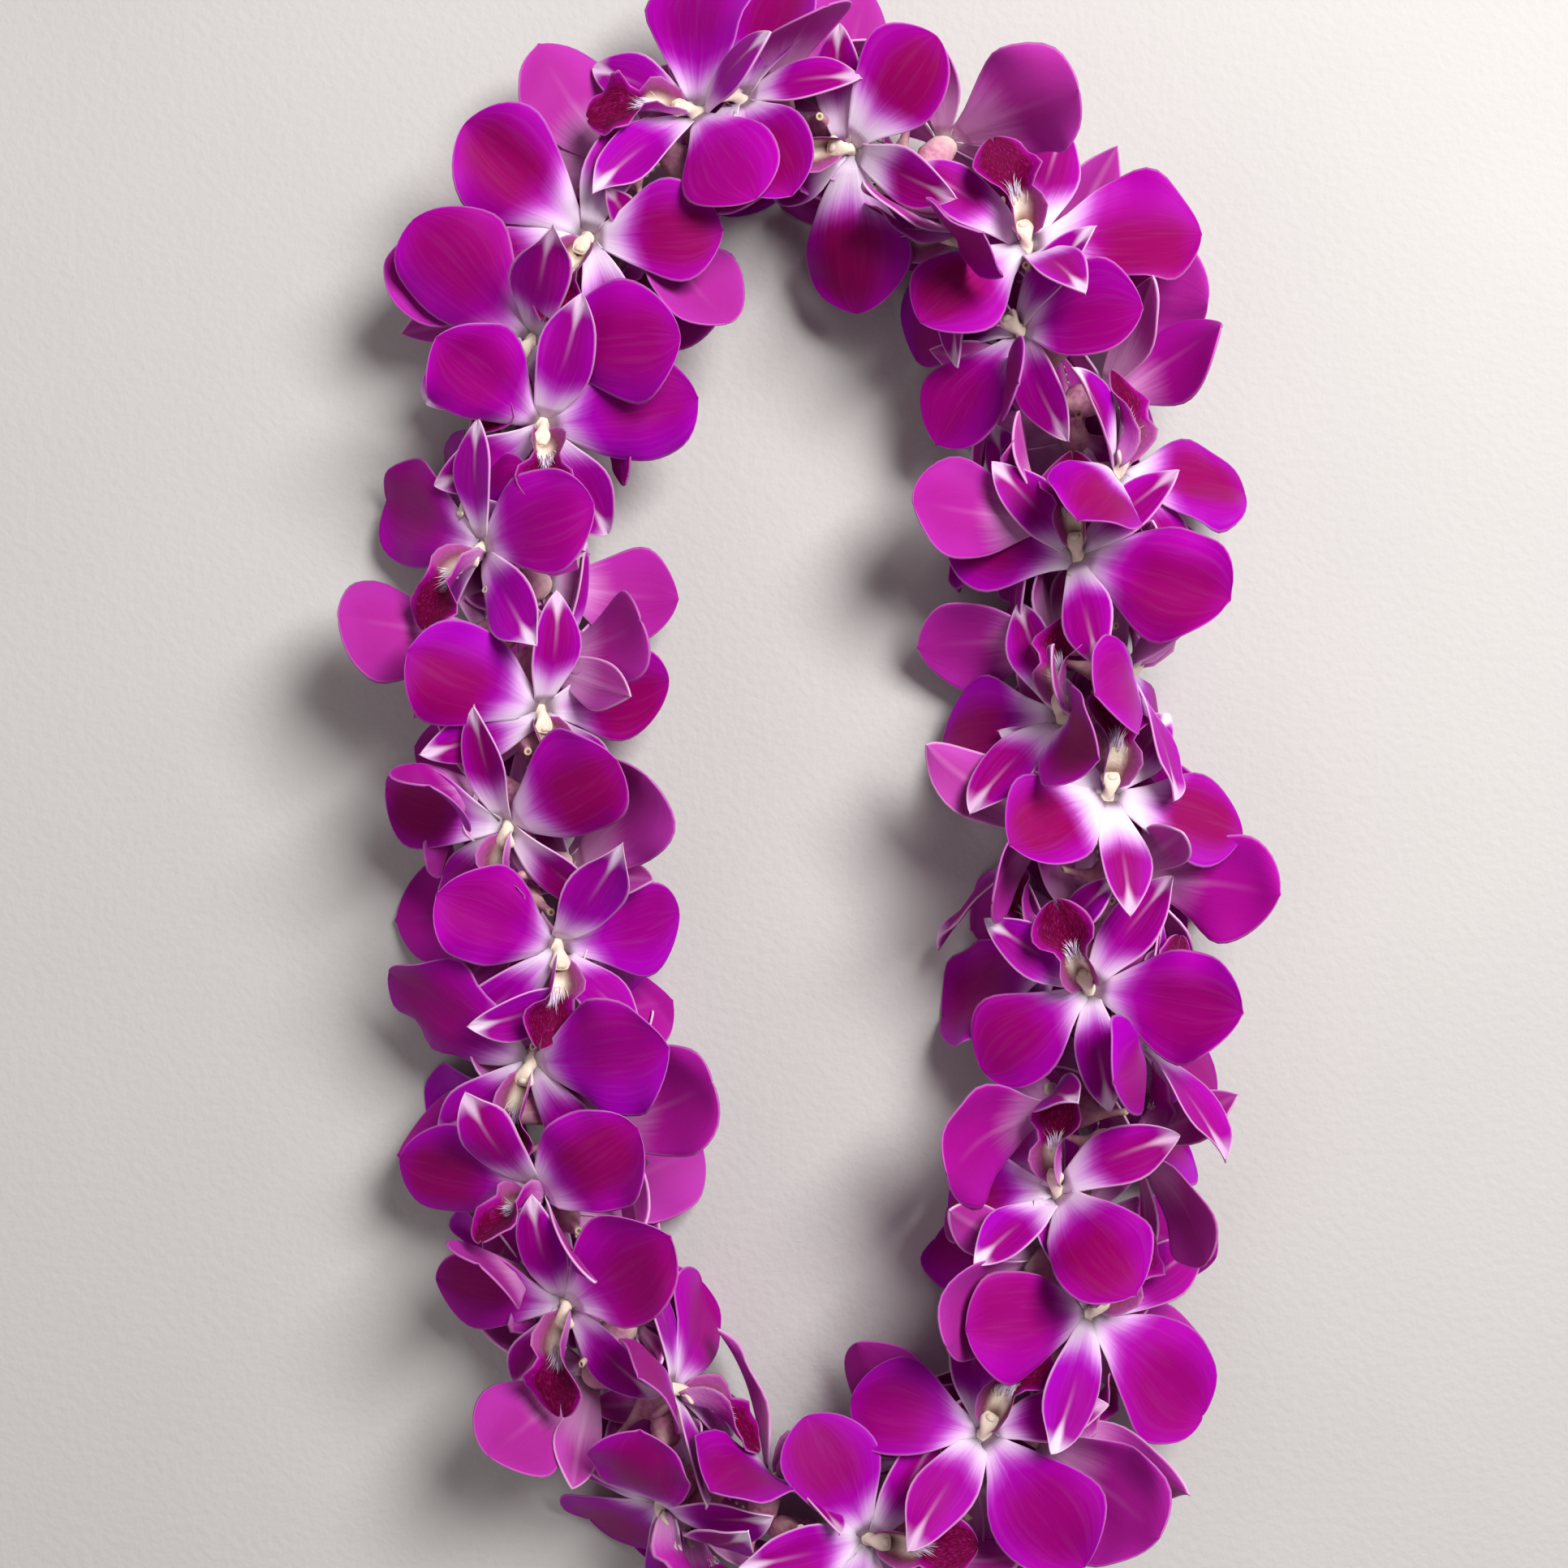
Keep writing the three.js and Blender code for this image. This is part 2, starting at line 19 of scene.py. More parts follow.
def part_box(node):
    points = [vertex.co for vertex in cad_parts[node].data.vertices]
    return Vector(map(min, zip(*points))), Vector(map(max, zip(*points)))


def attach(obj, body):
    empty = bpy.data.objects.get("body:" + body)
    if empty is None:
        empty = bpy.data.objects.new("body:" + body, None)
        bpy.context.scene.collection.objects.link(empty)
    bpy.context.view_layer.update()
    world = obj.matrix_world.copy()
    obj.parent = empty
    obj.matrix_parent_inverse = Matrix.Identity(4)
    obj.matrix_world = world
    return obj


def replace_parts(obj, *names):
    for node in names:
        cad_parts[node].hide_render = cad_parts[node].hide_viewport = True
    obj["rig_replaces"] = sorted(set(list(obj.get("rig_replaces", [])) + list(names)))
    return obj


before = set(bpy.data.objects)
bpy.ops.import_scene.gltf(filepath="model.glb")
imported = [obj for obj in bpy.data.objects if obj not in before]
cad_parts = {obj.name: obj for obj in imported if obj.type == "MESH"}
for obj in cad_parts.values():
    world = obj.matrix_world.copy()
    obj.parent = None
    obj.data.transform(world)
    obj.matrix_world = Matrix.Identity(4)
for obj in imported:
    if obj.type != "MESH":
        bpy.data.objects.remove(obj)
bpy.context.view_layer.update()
MM = 0.001  # the construction model's sizes are written in millimetres, and Blender works in metres
TURN = 2 * math.pi  # once round, in radians

# %% [markdown]
# ## Camera, floor and light
#
# The lei lies on a surface and is seen from straight above, so the camera looks down with no tilt. Its
# frame is a little shorter than the lei, whose two ends run out of the picture. A camera object looks along
# its own -Z axis, so one that isn't turned at all already looks down. The light is one large soft window
# high up on the right. A weak second light and a dim sky, both a little rosy like light that has passed
# through petals, keep the shade between the blooms from going black.

# %% Camera
# in metres
FRAME_WIDTH = 0.420  # what the square picture takes in, at the height of the lei's middle
FRAME_CENTRE = (-0.0074, 0.0117)
MIDDLE_HEIGHT = 0.035
NEAREST_SEEN = 0.01
# in millimetres
LENS = 50.0
SENSOR = 36.0


def make_camera():
    lens = bpy.data.cameras.new("camera")
    lens.lens = LENS
    lens.sensor_width = SENSOR
    lens.clip_start = NEAREST_SEEN
    camera = bpy.data.objects.new("camera", lens)
    distance = FRAME_WIDTH * LENS / SENSOR
    camera.location = (*FRAME_CENTRE, MIDDLE_HEIGHT + distance)
    bpy.context.scene.collection.objects.link(camera)
    bpy.context.scene.camera = camera
    return distance


print(f"camera {make_camera():.3f} m above the middle of the lei")

# %% Lights
LIGHTS = [
    # name, place, side in metres, watts, colour
    ("window", (0.50, 0.50, 1.0), 0.55, 19.5, (1.0, 0.97, 0.96)),
    ("fill", (-0.9, -0.5, 0.9), 1.0, 2.2, (1.0, 0.94, 0.94)),
]
SKY = (0.92, 0.85, 0.85)
SKY_STRENGTH = 0.21


def make_lights():
    for name, place, side, watts, colour in LIGHTS:
        light = bpy.data.lights.new(name, "AREA")
        light.size = side
        light.energy = watts
        light.color = colour
        lamp = bpy.data.objects.new(name, light)
        lamp.location = place
        lamp.rotation_euler = (-Vector(place)).to_track_quat("-Z", "Y").to_euler()
        bpy.context.scene.collection.objects.link(lamp)
    world = bpy.data.worlds.new("sky")
    world.use_nodes = True
    background = world.node_tree.nodes["Background"]
    background.inputs["Color"].default_value = (*SKY, 1.0)
    background.inputs["Strength"].default_value = SKY_STRENGTH
    bpy.context.scene.world = world
    bpy.context.scene.view_settings.view_transform = "Standard"


make_lights()
print(len(LIGHTS), "lights and a dim sky")

# %% [markdown]
# ## Sums in a node tree
#
# Both a petal's shape and its colour come from formulas. In a node tree a formula is a chain of Math nodes,
# which is slow to write and hard to read. So one small class wraps a socket, and arithmetic on it adds the
# nodes: `1 - shade * 2` becomes a Multiply and a Subtract. The same class serves Geometry Nodes, where the
# numbers move points, and materials, where they mix colours. Sums on vectors go through Vector Math nodes.

# %% A value that adds its own Math nodes
class Value:
    """One socket of a node tree."""

    def __init__(self, tree, socket):
        self.tree = tree
        self.socket = socket

    @property
    def is_vector(self):
        return self.socket.type in ("VECTOR", "RGBA")

    def of(self, name):
        """Another output of the same node."""
        return Value(self.tree, self.socket.node.outputs[name])

    def math(self, operation, *others):
        inputs = {"Value": self}
        inputs.update(zip(("Value_001", "Value_002"), others))
        return self.tree.node("ShaderNodeMath", {"operation": operation}, inputs)

    def vector_math(self, operation, other):
        return self.tree.node(
            "ShaderNodeVectorMath", {"operation": operation}, {"Vector": self, "Vector_001": other}
        )

    def scaled(self, factor):
        return self.tree.node(
            "ShaderNodeVectorMath", {"operation": "SCALE"}, {"Vector": self, "Scale": factor}
        )

    def __add__(self, other):
        return self.vector_math("ADD", other) if self.is_vector else self.math("ADD", other)

    def __sub__(self, other):
        return self.vector_math("SUBTRACT", other) if self.is_vector else self.math("SUBTRACT", other)

    def __mul__(self, other):
        if self.is_vector:
            return self.scaled(other)
        if isinstance(other, Value) and other.is_vector:
            return other.scaled(self)
        return self.math("MULTIPLY", other)

    def __truediv__(self, other):
        return self.math("DIVIDE", other)

    def __pow__(self, other):
        return self.math("POWER", other)

    def __rsub__(self, other):
        inputs = {"Value": other, "Value_001": self}
        return self.tree.node("ShaderNodeMath", {"operation": "SUBTRACT"}, inputs)

    __radd__ = __add__
    __rmul__ = __mul__

    def sin(self):
        return self.math("SINE")

    def cos(self):
        return self.math("COSINE")

    def abs(self):
        return self.math("ABSOLUTE")

    def at_least(self, least):
        return self.math("MAXIMUM", least)

    def at_most(self, most):
        return self.math("MINIMUM", most)

    def step(self, low, high):
        """Rises smoothly from 0 to 1 as the value goes from low to high."""
        inputs = {"Value": self, "From Min": low, "From Max": high}
        return self.tree.node("ShaderNodeMapRange", {"interpolation_type": "SMOOTHSTEP"}, inputs)

    def bump(self, centre, width):
        """1 where the value is at the centre, falling to 0 at that width to each side."""
        return 1 - ((self - centre) / width).abs().step(0.0, 1.0)


print("Value is ready")


# %% A tree with one way to make any node
class Tree:
    """A node tree with one way to make any node: its type, then its settings, then its sockets' values."""

    def __init__(self, tree):
        self.tree = tree

    def node(self, kind, settings=None, inputs=None):
        made = self.tree.nodes.new(kind)
        for name, value in (settings or {}).items():
            setattr(made, name, value)
        for name, value in (inputs or {}).items():
            self.plug(made, name, value)
        shown = [output for output in made.outputs if output.enabled]
        return Value(self, shown[0]) if shown else made

    def plug(self, made, name, value):
        usable = [socket for socket in made.inputs if socket.enabled]
        found = [socket for socket in usable if socket.identifier == name]
        found += [socket for socket in usable if socket.name == name]
        for one in value if isinstance(value, list) else [value]:
            if isinstance(one, Value):
                self.tree.links.new(one.socket, found[0])
            else:
                found[0].default_value = one


print("Tree is ready")

# %% [markdown]
# ## The thread's route
#
# The blooms sit at set distances along the thread, so the thread's route comes first. It is the same closed
# curve that the construction model uses: a smooth curve through fifteen points, a uniform Catmull-Rom
# spline. Blender has no such curve, but its formula is short. Walking it at even speed needs a table of the
# distance covered at each of many small steps, looked up by interpolation.

# %% Route
THREAD_HEIGHT = 28
THREAD_ROUTE = [
    (2, -191), (-34, -173), (-60, -128), (-69, -75), (-76, 0), (-80, 62), (-70, 138), (-36, 184),
    (12, 188), (54, 157), (74, 95), (75.5, 15), (78.5, -62), (66, -138), (36, -180),
]
CENTRING = (0.75, -0.15)
ROUTE_STEPS = 200
TANGENT_STEP = 0.0001
UP = np.array([0.0, 0.0, 1.0])


class Route:
    """The closed curve that the thread follows, in millimetres."""

    def __init__(self, points):
        self.points = np.array(points, float)
        places = np.array([self.place(step / ROUTE_STEPS) for step in range(ROUTE_STEPS + 1)])
        strides = np.linalg.norm(np.diff(places, axis=0), axis=1)
        self.covered = np.concatenate([[0.0], np.cumsum(strides)])
        self.length = self.covered[-1]

    def place(self, t):
        count = len(self.points)
        whole = math.floor(count * t)
        w = count * t - whole
        before, start, end, after = (self.points[(whole + offset) % count] for offset in (-1, 0, 1, 2))
        slope_in = (end - before) / 2
        slope_out = (after - start) / 2
        cubic = 2 * start - 2 * end + slope_in + slope_out
        square = -3 * start + 3 * end - 2 * slope_in - slope_out
        return start + slope_in * w + square * w**2 + cubic * w**3

    def even(self, share):
        """The curve's own parameter at a share of its length."""
        steps = np.arange(ROUTE_STEPS + 1) / ROUTE_STEPS
        return float(np.interp(share * self.length, self.covered, steps))

    def at(self, share):
        return self.place(self.even(share))

    def along(self, share):
        t = self.even(share)
        direction = self.place(min(t + TANGENT_STEP, 1.0)) - self.place(max(t - TANGENT_STEP, 0.0))
        return direction / np.linalg.norm(direction)


route = Route([(x + CENTRING[0], y + CENTRING[1], THREAD_HEIGHT) for x, y in THREAD_ROUTE])
print(f"thread {route.length:.1f} mm round")

# %% [markdown]
# ## Where each bloom sits and how it faces
#
# The blooms stand in pairs on the thread. Those that lie uppermost have a chosen direction, and the rest
# fill in round the sides and beneath, each turned on by the golden share of the range so that no pattern
# shows. Each bloom leans back a little, and everything about it is scattered by a few degrees. The draws
# come from the same small seeded generator, in the same order, as in the construction model. So the
# directions agree to the last digit, and the fine petals can grow on the plain ones.

# %% Sizes of the string and the blooms
BLOOM_COUNT = 84
# in millimetres along the thread
PAIR_GAP = 8.5
KNOT_ROOM = 10
# distance along the thread, then degrees round it, where 90 is straight up
UPPERMOST = [
    (39, 30), (94, 62), (128, 62), (162, 64), (194, 118), (228, 58), (259, 128), (301, 45), (328, 108),
    (354, 70), (388, 95), (424, 55), (445, 60), (472, 130), (527, 80), (550, 140), (593, 45), (607, 118),
    (657, 125), (679, 70), (725, 112), (738, 20), (788, 140), (815, 60), (861, 112), (899, 90),
]
# in degrees, but the step, which is a share of the range
OTHERS = {"from": 148, "range": 230, "step": 0.618034}
BACK_TILT = 14
SCATTER = {"azimuth": 8, "tilt": 5, "roll": 16, "lift": 7, "swing": 5, "curl": 16, "twist": 14, "cup": 10}
SEED = 2025
# where the blades root, in millimetres in front of the thread and from the bloom's axis
COLLAR_FRONT = 8.6
COLLAR_RADIUS = 3.6

# length and width in millimetres, lift, curl and cup in degrees; a high peak moves the widest place towards
# the tip, a low fullness rounds the outline, and the plain blade's edges have a corner at the row, a share of
# its length
PETAL = {
    "kind": "petal", "length": 34, "width": 27, "peak": 1.5, "fullness": 0.62,
    "lift": 20, "curl": 32, "cup": (4, 4), "row": 0.5,
}
SEPAL = {
    "kind": "sepal", "length": 31, "width": 14, "peak": 1.05, "fullness": 0.85,
    "lift": 12, "curl": 30, "cup": (6, 4), "row": 0.4,
}
LOWER_SEPAL = SEPAL | {"cup": (6, 6), "row": 0.5}
LIP = {
    "kind": "lip", "length": 25, "width": 20, "peak": 0.9, "fullness": 0.7,
    "lift": 48, "curl": 50, "cup": (60, 8), "row": 0.38,
}
BLADES = [
    SEPAL | {"angle": 0}, PETAL | {"angle": 68}, LOWER_SEPAL | {"angle": 138},
    LIP | {"angle": 180}, LOWER_SEPAL | {"angle": 222}, PETAL | {"angle": 292},
]
LIP_INDEX = 3


# %% A seeded draw
def make_draw(seed):
    """Draws numbers between minus and plus a spread. The state is one whole number of 32 bits."""
    state = seed
    whole = 0xFFFFFFFF

    def draw(spread):
        nonlocal state
        state = (state + 0x6D2B79F5) & whole
        bits = ((state ^ (state >> 15)) * (state | 1)) & whole
        bits ^= (bits + (((bits ^ (bits >> 7)) * (bits | 61)) & whole)) & whole
        bits ^= bits >> 14
        return spread * (2 * bits / 2**32 - 1)

    return draw


print("the first draw from the seed:", make_draw(SEED)(1))


# %% Place and turn the blooms
def turned(first, second, angle):
    """The unit direction that lies that angle from the first towards the second."""
    return math.cos(angle) * first + math.sin(angle) * second


def make_blooms():
    draw = make_draw(SEED)
    pitch = (route.length - KNOT_ROOM) / (BLOOM_COUNT / 2)
    blooms = []
    for index in range(BLOOM_COUNT):
        pair, second = divmod(index, 2)
        distance = KNOT_ROOM / 2 + pitch * (pair + 0.5) + (second - 0.5) * PAIR_GAP
        blooms.append({"index": index, "pair": pair, "distance": distance})
    for distance, azimuth in UPPERMOST:
        min(blooms, key=lambda bloom: abs(bloom["distance"] - distance))["azimuth"] = azimuth
    turn = 0
    for bloom in blooms:
        if "azimuth" not in bloom:
            turn = (turn + OTHERS["step"]) % 1
            bloom["azimuth"] = OTHERS["from"] + OTHERS["range"] * turn
    for bloom in blooms:
        azimuth = math.radians(bloom["azimuth"] + draw(SCATTER["azimuth"]))
        tilt = math.radians(BACK_TILT + draw(SCATTER["tilt"]))
        roll = math.radians(draw(SCATTER["roll"]))
        share = bloom["distance"] / route.length
        along = route.along(share)
        outward = np.cross(UP, along)
        outward /= np.linalg.norm(outward)
        face = turned(outward, UP, azimuth)
        level = turned(along, face, tilt)
        front = turned(face, -along, tilt)
        dorsal = turned(level, np.cross(front, level), roll)
        bloom.update(centre=route.at(share), outward=outward)
        bloom.update(front=front, dorsal=dorsal, right=np.cross(dorsal, front))
        kinds = ("lift", "swing", "curl", "twist", "cup")
        bloom["moods"] = [{kind: draw(SCATTER[kind]) for kind in kinds} for _ in BLADES]
    return blooms


blooms = make_blooms()
print(len(blooms), "blooms, the first at", np.round(blooms[0]["centre"], 2))

# %% [markdown]
# ## How each blade is bent
#
# Petals that crowd each other bend aside. The construction model tried a list of bends for each blade, from
# the least effort to the most, and took the first that left it clear of its neighbours. That search is
# long, and its result is already here: the tip and the edges of every plain blade are corners of its node.
# So each bend of the same list is tried against the corners that are really there, and the first that meets
# them is the one the blade has. A k-d tree finds the nearest corner at once. Where no bend fits, the blade
# found no room.

# %% The list of bends
# in degrees, and the sizes against the whole blade
LIFTS = (0, 12, -10, 24, -20, 36, 50, -32, 64, 78)
SWINGS = (0, 10, -10, 20, -20, 32, -32)
TWISTS = (0, 25, -25, 50, -50)
SIZES = (1, 0.86, 0.72, 0.58, 0.46, 0.36)
COSTS = {"swing": 1.3, "twist": 0.5, "size": 250}  # against the cost of one degree of lift
# parts of a degree that keep two opposite bends from costing the same
LEANINGS = {"lift": 0.3, "swing": 0.2, "twist": 0.1}
MEETS = 0.02  # how near a corner has to be, in millimetres


def effort(bend):
    lift, swing, twist, size = bend
    cost = abs(lift + LEANINGS["lift"]) + COSTS["swing"] * abs(swing + LEANINGS["swing"])
    return cost + COSTS["twist"] * abs(twist + LEANINGS["twist"]) + COSTS["size"] * (1 - size)


BENDS = sorted(
    ((lift, swing, twist, size) for size in SIZES for swing in SWINGS for lift in LIFTS for twist in TWISTS),
    key=effort,
)


def bent(blade, mood, bend):
    """A blade's angles in radians and its size: its kind's, its own scatter and the bend together."""
    lift, swing, twist, size = bend
    mirror = -1 if blade["angle"] > 180 else 1
    return {
        "lift": math.radians(blade["lift"] + mood["lift"] + lift),
        "swing": math.radians(blade["angle"] + (mood["swing"] + swing) * mirror),
        "curl": math.radians(blade["curl"] + mood["curl"]),
        "twist": math.radians((mood["twist"] + twist) * mirror),
        "cup": 0 if blade["kind"] == "lip" else math.radians(mood["cup"]),
        "size": size,
    }


print(len(BENDS), "bends, the first", BENDS[0], "and the last", BENDS[-1])


# %% Points of a blade
def blade_axes(bloom, blade, shape):
    """A blade's root, and the directions in which it grows out and is wide."""
    angle = math.radians(blade["angle"])
    root = bloom["centre"] + COLLAR_FRONT * bloom["front"]
    root = root + COLLAR_RADIUS * turned(bloom["dorsal"], bloom["right"], angle)
    out = turned(bloom["dorsal"], bloom["right"], shape["swing"])
    across = turned(bloom["right"], -bloom["dorsal"], shape["swing"])
    return root, out, across


def spine_point(bloom, blade, shape, t):
    root, out, _ = blade_axes(bloom, blade, shape)
    half = shape["curl"] * t / 2
    chord = blade["length"] * shape["size"] * t * math.sin(half) / half
    return root + chord * turned(out, bloom["front"], shape["lift"] - half)


def edge_point(bloom, blade, shape, t, side):
    _, out, across = blade_axes(bloom, blade, shape)
    slope = shape["lift"] - shape["curl"] * t
    twist = shape["twist"] * t
    cup = math.radians(blade["cup"][0]) + shape["cup"]
    normal = turned(bloom["front"], -out, slope)
    wide = turned(across, normal, twist)
    proud = turned(normal, -across, twist)
    half = blade["width"] / 2 * math.sin(math.pi * t ** blade["peak"]) ** blade["fullness"] * shape["size"]
    middle = spine_point(bloom, blade, shape, t)
    return middle + side * half * math.cos(cup) * wide + half * math.sin(cup) * proud


unbent = bent(BLADES[0], dict.fromkeys(SCATTER, 0), BENDS[0])
tip = spine_point(blooms[0], BLADES[0], unbent, 1)
print("the first bloom's dorsal sepal would end at", np.round(tip, 1), "if nothing bent it")


# %% Read each blade's bend off its node
def corner_finder(node):
    corners = [vertex.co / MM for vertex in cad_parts[node].data.vertices]
    tree = kdtree.KDTree(len(corners))
    for index, corner in enumerate(corners):
        tree.insert(corner, index)
    tree.balance()

    def is_corner(point):
        resting = (point[0], point[1], max(0.0, point[2]))
        return tree.find(resting)[2] < MEETS

    return is_corner


def find_bend(bloom, index, is_corner):
    blade, mood = BLADES[index], bloom["moods"][index]
    tips = {}
    for bend in BENDS:
        lift, swing, twist, size = bend
        shape = bent(blade, mood, bend)
        if (lift, swing, size) not in tips:
            tips[lift, swing, size] = is_corner(spine_point(bloom, blade, shape, 1))
        if tips[lift, swing, size] and all(
            is_corner(edge_point(bloom, blade, shape, blade["row"], side)) for side in (-1, 1)
        ):
            return shape
    return None


def read_bends():
    for pair in range(BLOOM_COUNT // 2):
        is_corner = corner_finder(f"blooms_{pair + 1:02d}")
        for bloom in (one for one in blooms if one["pair"] == pair):
            bloom["blades"] = [find_bend(bloom, index, is_corner) for index in range(len(BLADES))]
    return sum(shape is not None for bloom in blooms for shape in bloom["blades"])


print(read_bends(), "blades found on", len(blooms), "blooms")

# %% [markdown]
# ## One leaf for every blade
#
# Petals, sepals and lips differ in outline and bend, not in build: each is a thin closed skin with a front,
# a back and a rounded margin. So they share one template. Its corners hold no shape of their own, only
# where they are on a leaf: `s` runs from root to tip, `u` from the left margin to the right, and `over` is
# 1 on the front, -1 on the back and 0 on the margin that both share. Rows and columns lie closer together
# towards the tip and the margins, where the outline turns most. A hair is a leaf too, only round and thin,
# and `beside` says how far to its side a corner lies.

# %% Templates with named attributes
LEAF_ROWS = 17
LEAF_COLUMNS = 12
HAIR_ROWS = 3
HAIR_SIDES = 3


def mesh_of(name, corners, faces, numbers):
    """A mesh whose corners carry the named numbers, single ones or triples."""
    mesh = bpy.data.meshes.new(name)
    mesh.from_pydata([tuple(corner) for corner in corners], [], faces)
    for key, values in numbers.items():
        values = np.array(values, np.float32)
        kind, field = ("FLOAT_VECTOR", "vector") if values.ndim == 2 else ("FLOAT", "value")
        mesh.attributes.new(key, kind, "POINT").data.foreach_set(field, values.ravel())
    return mesh


def template_object(name, corners, faces):
    s, u, beside, over = zip(*corners)
    places = [(one[1], one[0], one[3]) for one in corners]
    numbers = {"s": s, "u": u, "beside": beside, "over": over}
    return bpy.data.objects.new(name, mesh_of(name, places, faces, numbers))


print(f"a leaf gets {LEAF_ROWS} x {LEAF_COLUMNS} faces on each side, and a hair {HAIR_ROWS} x {HAIR_SIDES}")


# %% The leaf template
def leaf_template():
    corners, faces = [], []
    index = {}
    for row in range(LEAF_ROWS):
        s = math.sin(math.pi / 2 * row / LEAF_ROWS)
        for column in range(LEAF_COLUMNS + 1):
            u = math.sin(math.pi / 2 * (2 * column / LEAF_COLUMNS - 1))
            shared = row == 0 or column in (0, LEAF_COLUMNS)
            for over in (0,) if shared else (1, -1):
                index[row, column, over] = len(corners)
                corners.append((s, u, 0, over))
    tip = len(corners)
    corners.append((1, 0, 0, 0))

    def corner(row, column, over):
        if row == LEAF_ROWS:
            return tip
        return index.get((row, column, over), index.get((row, column, 0)))

    for over in (1, -1):
        for row in range(LEAF_ROWS):
            for column in range(LEAF_COLUMNS):
                around = [(row, column), (row, column + 1), (row + 1, column + 1), (row + 1, column)]
                ring = list(dict.fromkeys(corner(*place, over) for place in around))
                faces.append(ring if over == 1 else ring[::-1])
    return corners, faces


leaf = template_object("leaf", *leaf_template())
print("leaf template:", len(leaf.data.polygons), "faces")


# %% The hair template
def hair_template():
    corners, faces = [], []
    for row in range(HAIR_ROWS):
        s = row / HAIR_ROWS
        for side in range(HAIR_SIDES):
            angle = TURN * side / HAIR_SIDES
            corners.append((s, 0, (1 - s) * math.cos(angle), (1 - s) * math.sin(angle)))
    tip = len(corners)
    corners.append((1, 0, 0, 0))
    for row in range(HAIR_ROWS):
        for side in range(HAIR_SIDES):
            here, there = side, (side + 1) % HAIR_SIDES
            ring = [HAIR_SIDES * row + here, HAIR_SIDES * row + there]
            beyond = [HAIR_SIDES * (row + 1) + there, HAIR_SIDES * (row + 1) + here]
            ring += [tip] if row == HAIR_ROWS - 1 else beyond
            faces.append(ring[::-1])
    faces.append(list(range(HAIR_SIDES)))
    return corners, faces


hair = template_object("hair", *hair_template())
print("hair template:", len(hair.data.polygons), "faces")

# %% [markdown]
# ## The heart of a bloom
#
# Behind its face an orchid narrows to a chin under the lip, then to the ovary and the stalk, which was cut
# when the lei was strung. In front stands the column. It leans over the lip and widens into a wedge, whose
# shaded hollow is the stigma, and it carries the anther cap, two small lobes with a groove between them.
# All of it is roundish in section, so it is a loft: rings along the bloom's axis, each with its own middle,
# half width, and depth towards the dorsal sepal and towards the chin. The first rings turn in to make the
# pitted cut end. Three numbers ride along for the colours: how green, how blushed and how much painted
# shade a ring gets.

# %% Rings of the heart, the column and the cap
HEART_SIDES = 14
# front, dorsal middle, half width, dorsal depth, chin depth (mm), green, blush, painted shade
HEART_RINGS = [
    (-11.6, -7.8, 0.30, 0.30, 0.30, 0.6, 0.0, 1.0),
    (-12.0, -7.9, 0.55, 0.55, 0.55, 0.7, 0.0, 0.4),
    (-12.1, -7.9, 0.95, 0.95, 0.95, 0.9, 0.0, 0.0),
    (-11.8, -7.8, 1.10, 1.10, 1.10, 0.8, 0.4, 0.0),
    (-10.2, -6.9, 0.95, 0.95, 0.95, 0.4, 0.9, 0.0),
    (-8.0, -5.5, 1.15, 1.15, 1.20, 0.2, 1.0, 0.0),
    (-5.5, -3.9, 1.70, 1.70, 1.90, 0.3, 0.6, 0.0),
    (-3.2, -2.2, 2.30, 2.50, 3.30, 0.1, 0.8, 0.0),
    (-1.0, -1.1, 3.00, 3.70, 5.60, 0.0, 0.9, 0.0),
    (1.2, -0.8, 3.40, 3.90, 5.90, 0.0, 0.8, 0.0),
    (4.0, -0.4, 3.60, 3.80, 5.00, 0.0, 0.6, 0.0),
    (6.4, -0.1, 3.70, 3.70, 4.20, 0.0, 0.3, 0.0),
    (7.3, 0.0, 3.10, 3.10, 3.20, 0.0, 0.1, 0.0),
    (7.9, 0.0, 1.90, 1.90, 1.90, 0.0, 0.0, 0.0),
]
# the column's rings: front, dorsal edge, edge towards the lip, half width (mm), painted shade beneath
COLUMN_RINGS = [
    (8.5, 1.6, -2.0, 1.50, 0.0),
    (9.4, 1.2, -2.5, 1.45, 0.5),
    (10.3, 0.6, -3.2, 1.85, 0.9),
    (11.1, -0.2, -4.1, 2.50, 1.0),
    (11.7, -1.1, -4.8, 3.00, 0.7),
    (12.1, -2.1, -5.1, 2.95, 0.2),
    (12.3, -3.1, -4.7, 1.90, 0.0),
]
COLUMN = {"flare": 0.42, "roundness": 0.75, "green": 0.1}  # flare: how much wider a ring is towards the lip
# where the cap is and how big (mm), then how deep and how narrow its groove is
CAP = {
    "front": 12.1, "dorsal": -3.7, "width": 1.60, "height": 1.15, "depth": 0.80,
    "rings": 5, "groove": 0.45, "narrowness": 6, "green": 0.15,
}
print(len(HEART_RINGS) + len(COLUMN_RINGS), "rings for heart and column,", CAP["rings"], "for the cap")


# %% The corners of a ring
def heart_ring(front, middle, width, dorsal, chin, *numbers):
    ring = []
    for side in range(HEART_SIDES):
        angle = TURN * side / HEART_SIDES
        depth = dorsal if math.cos(angle) > 0 else chin
        ring.append((middle + depth * math.cos(angle), width * math.sin(angle), front, *numbers))
    return ring


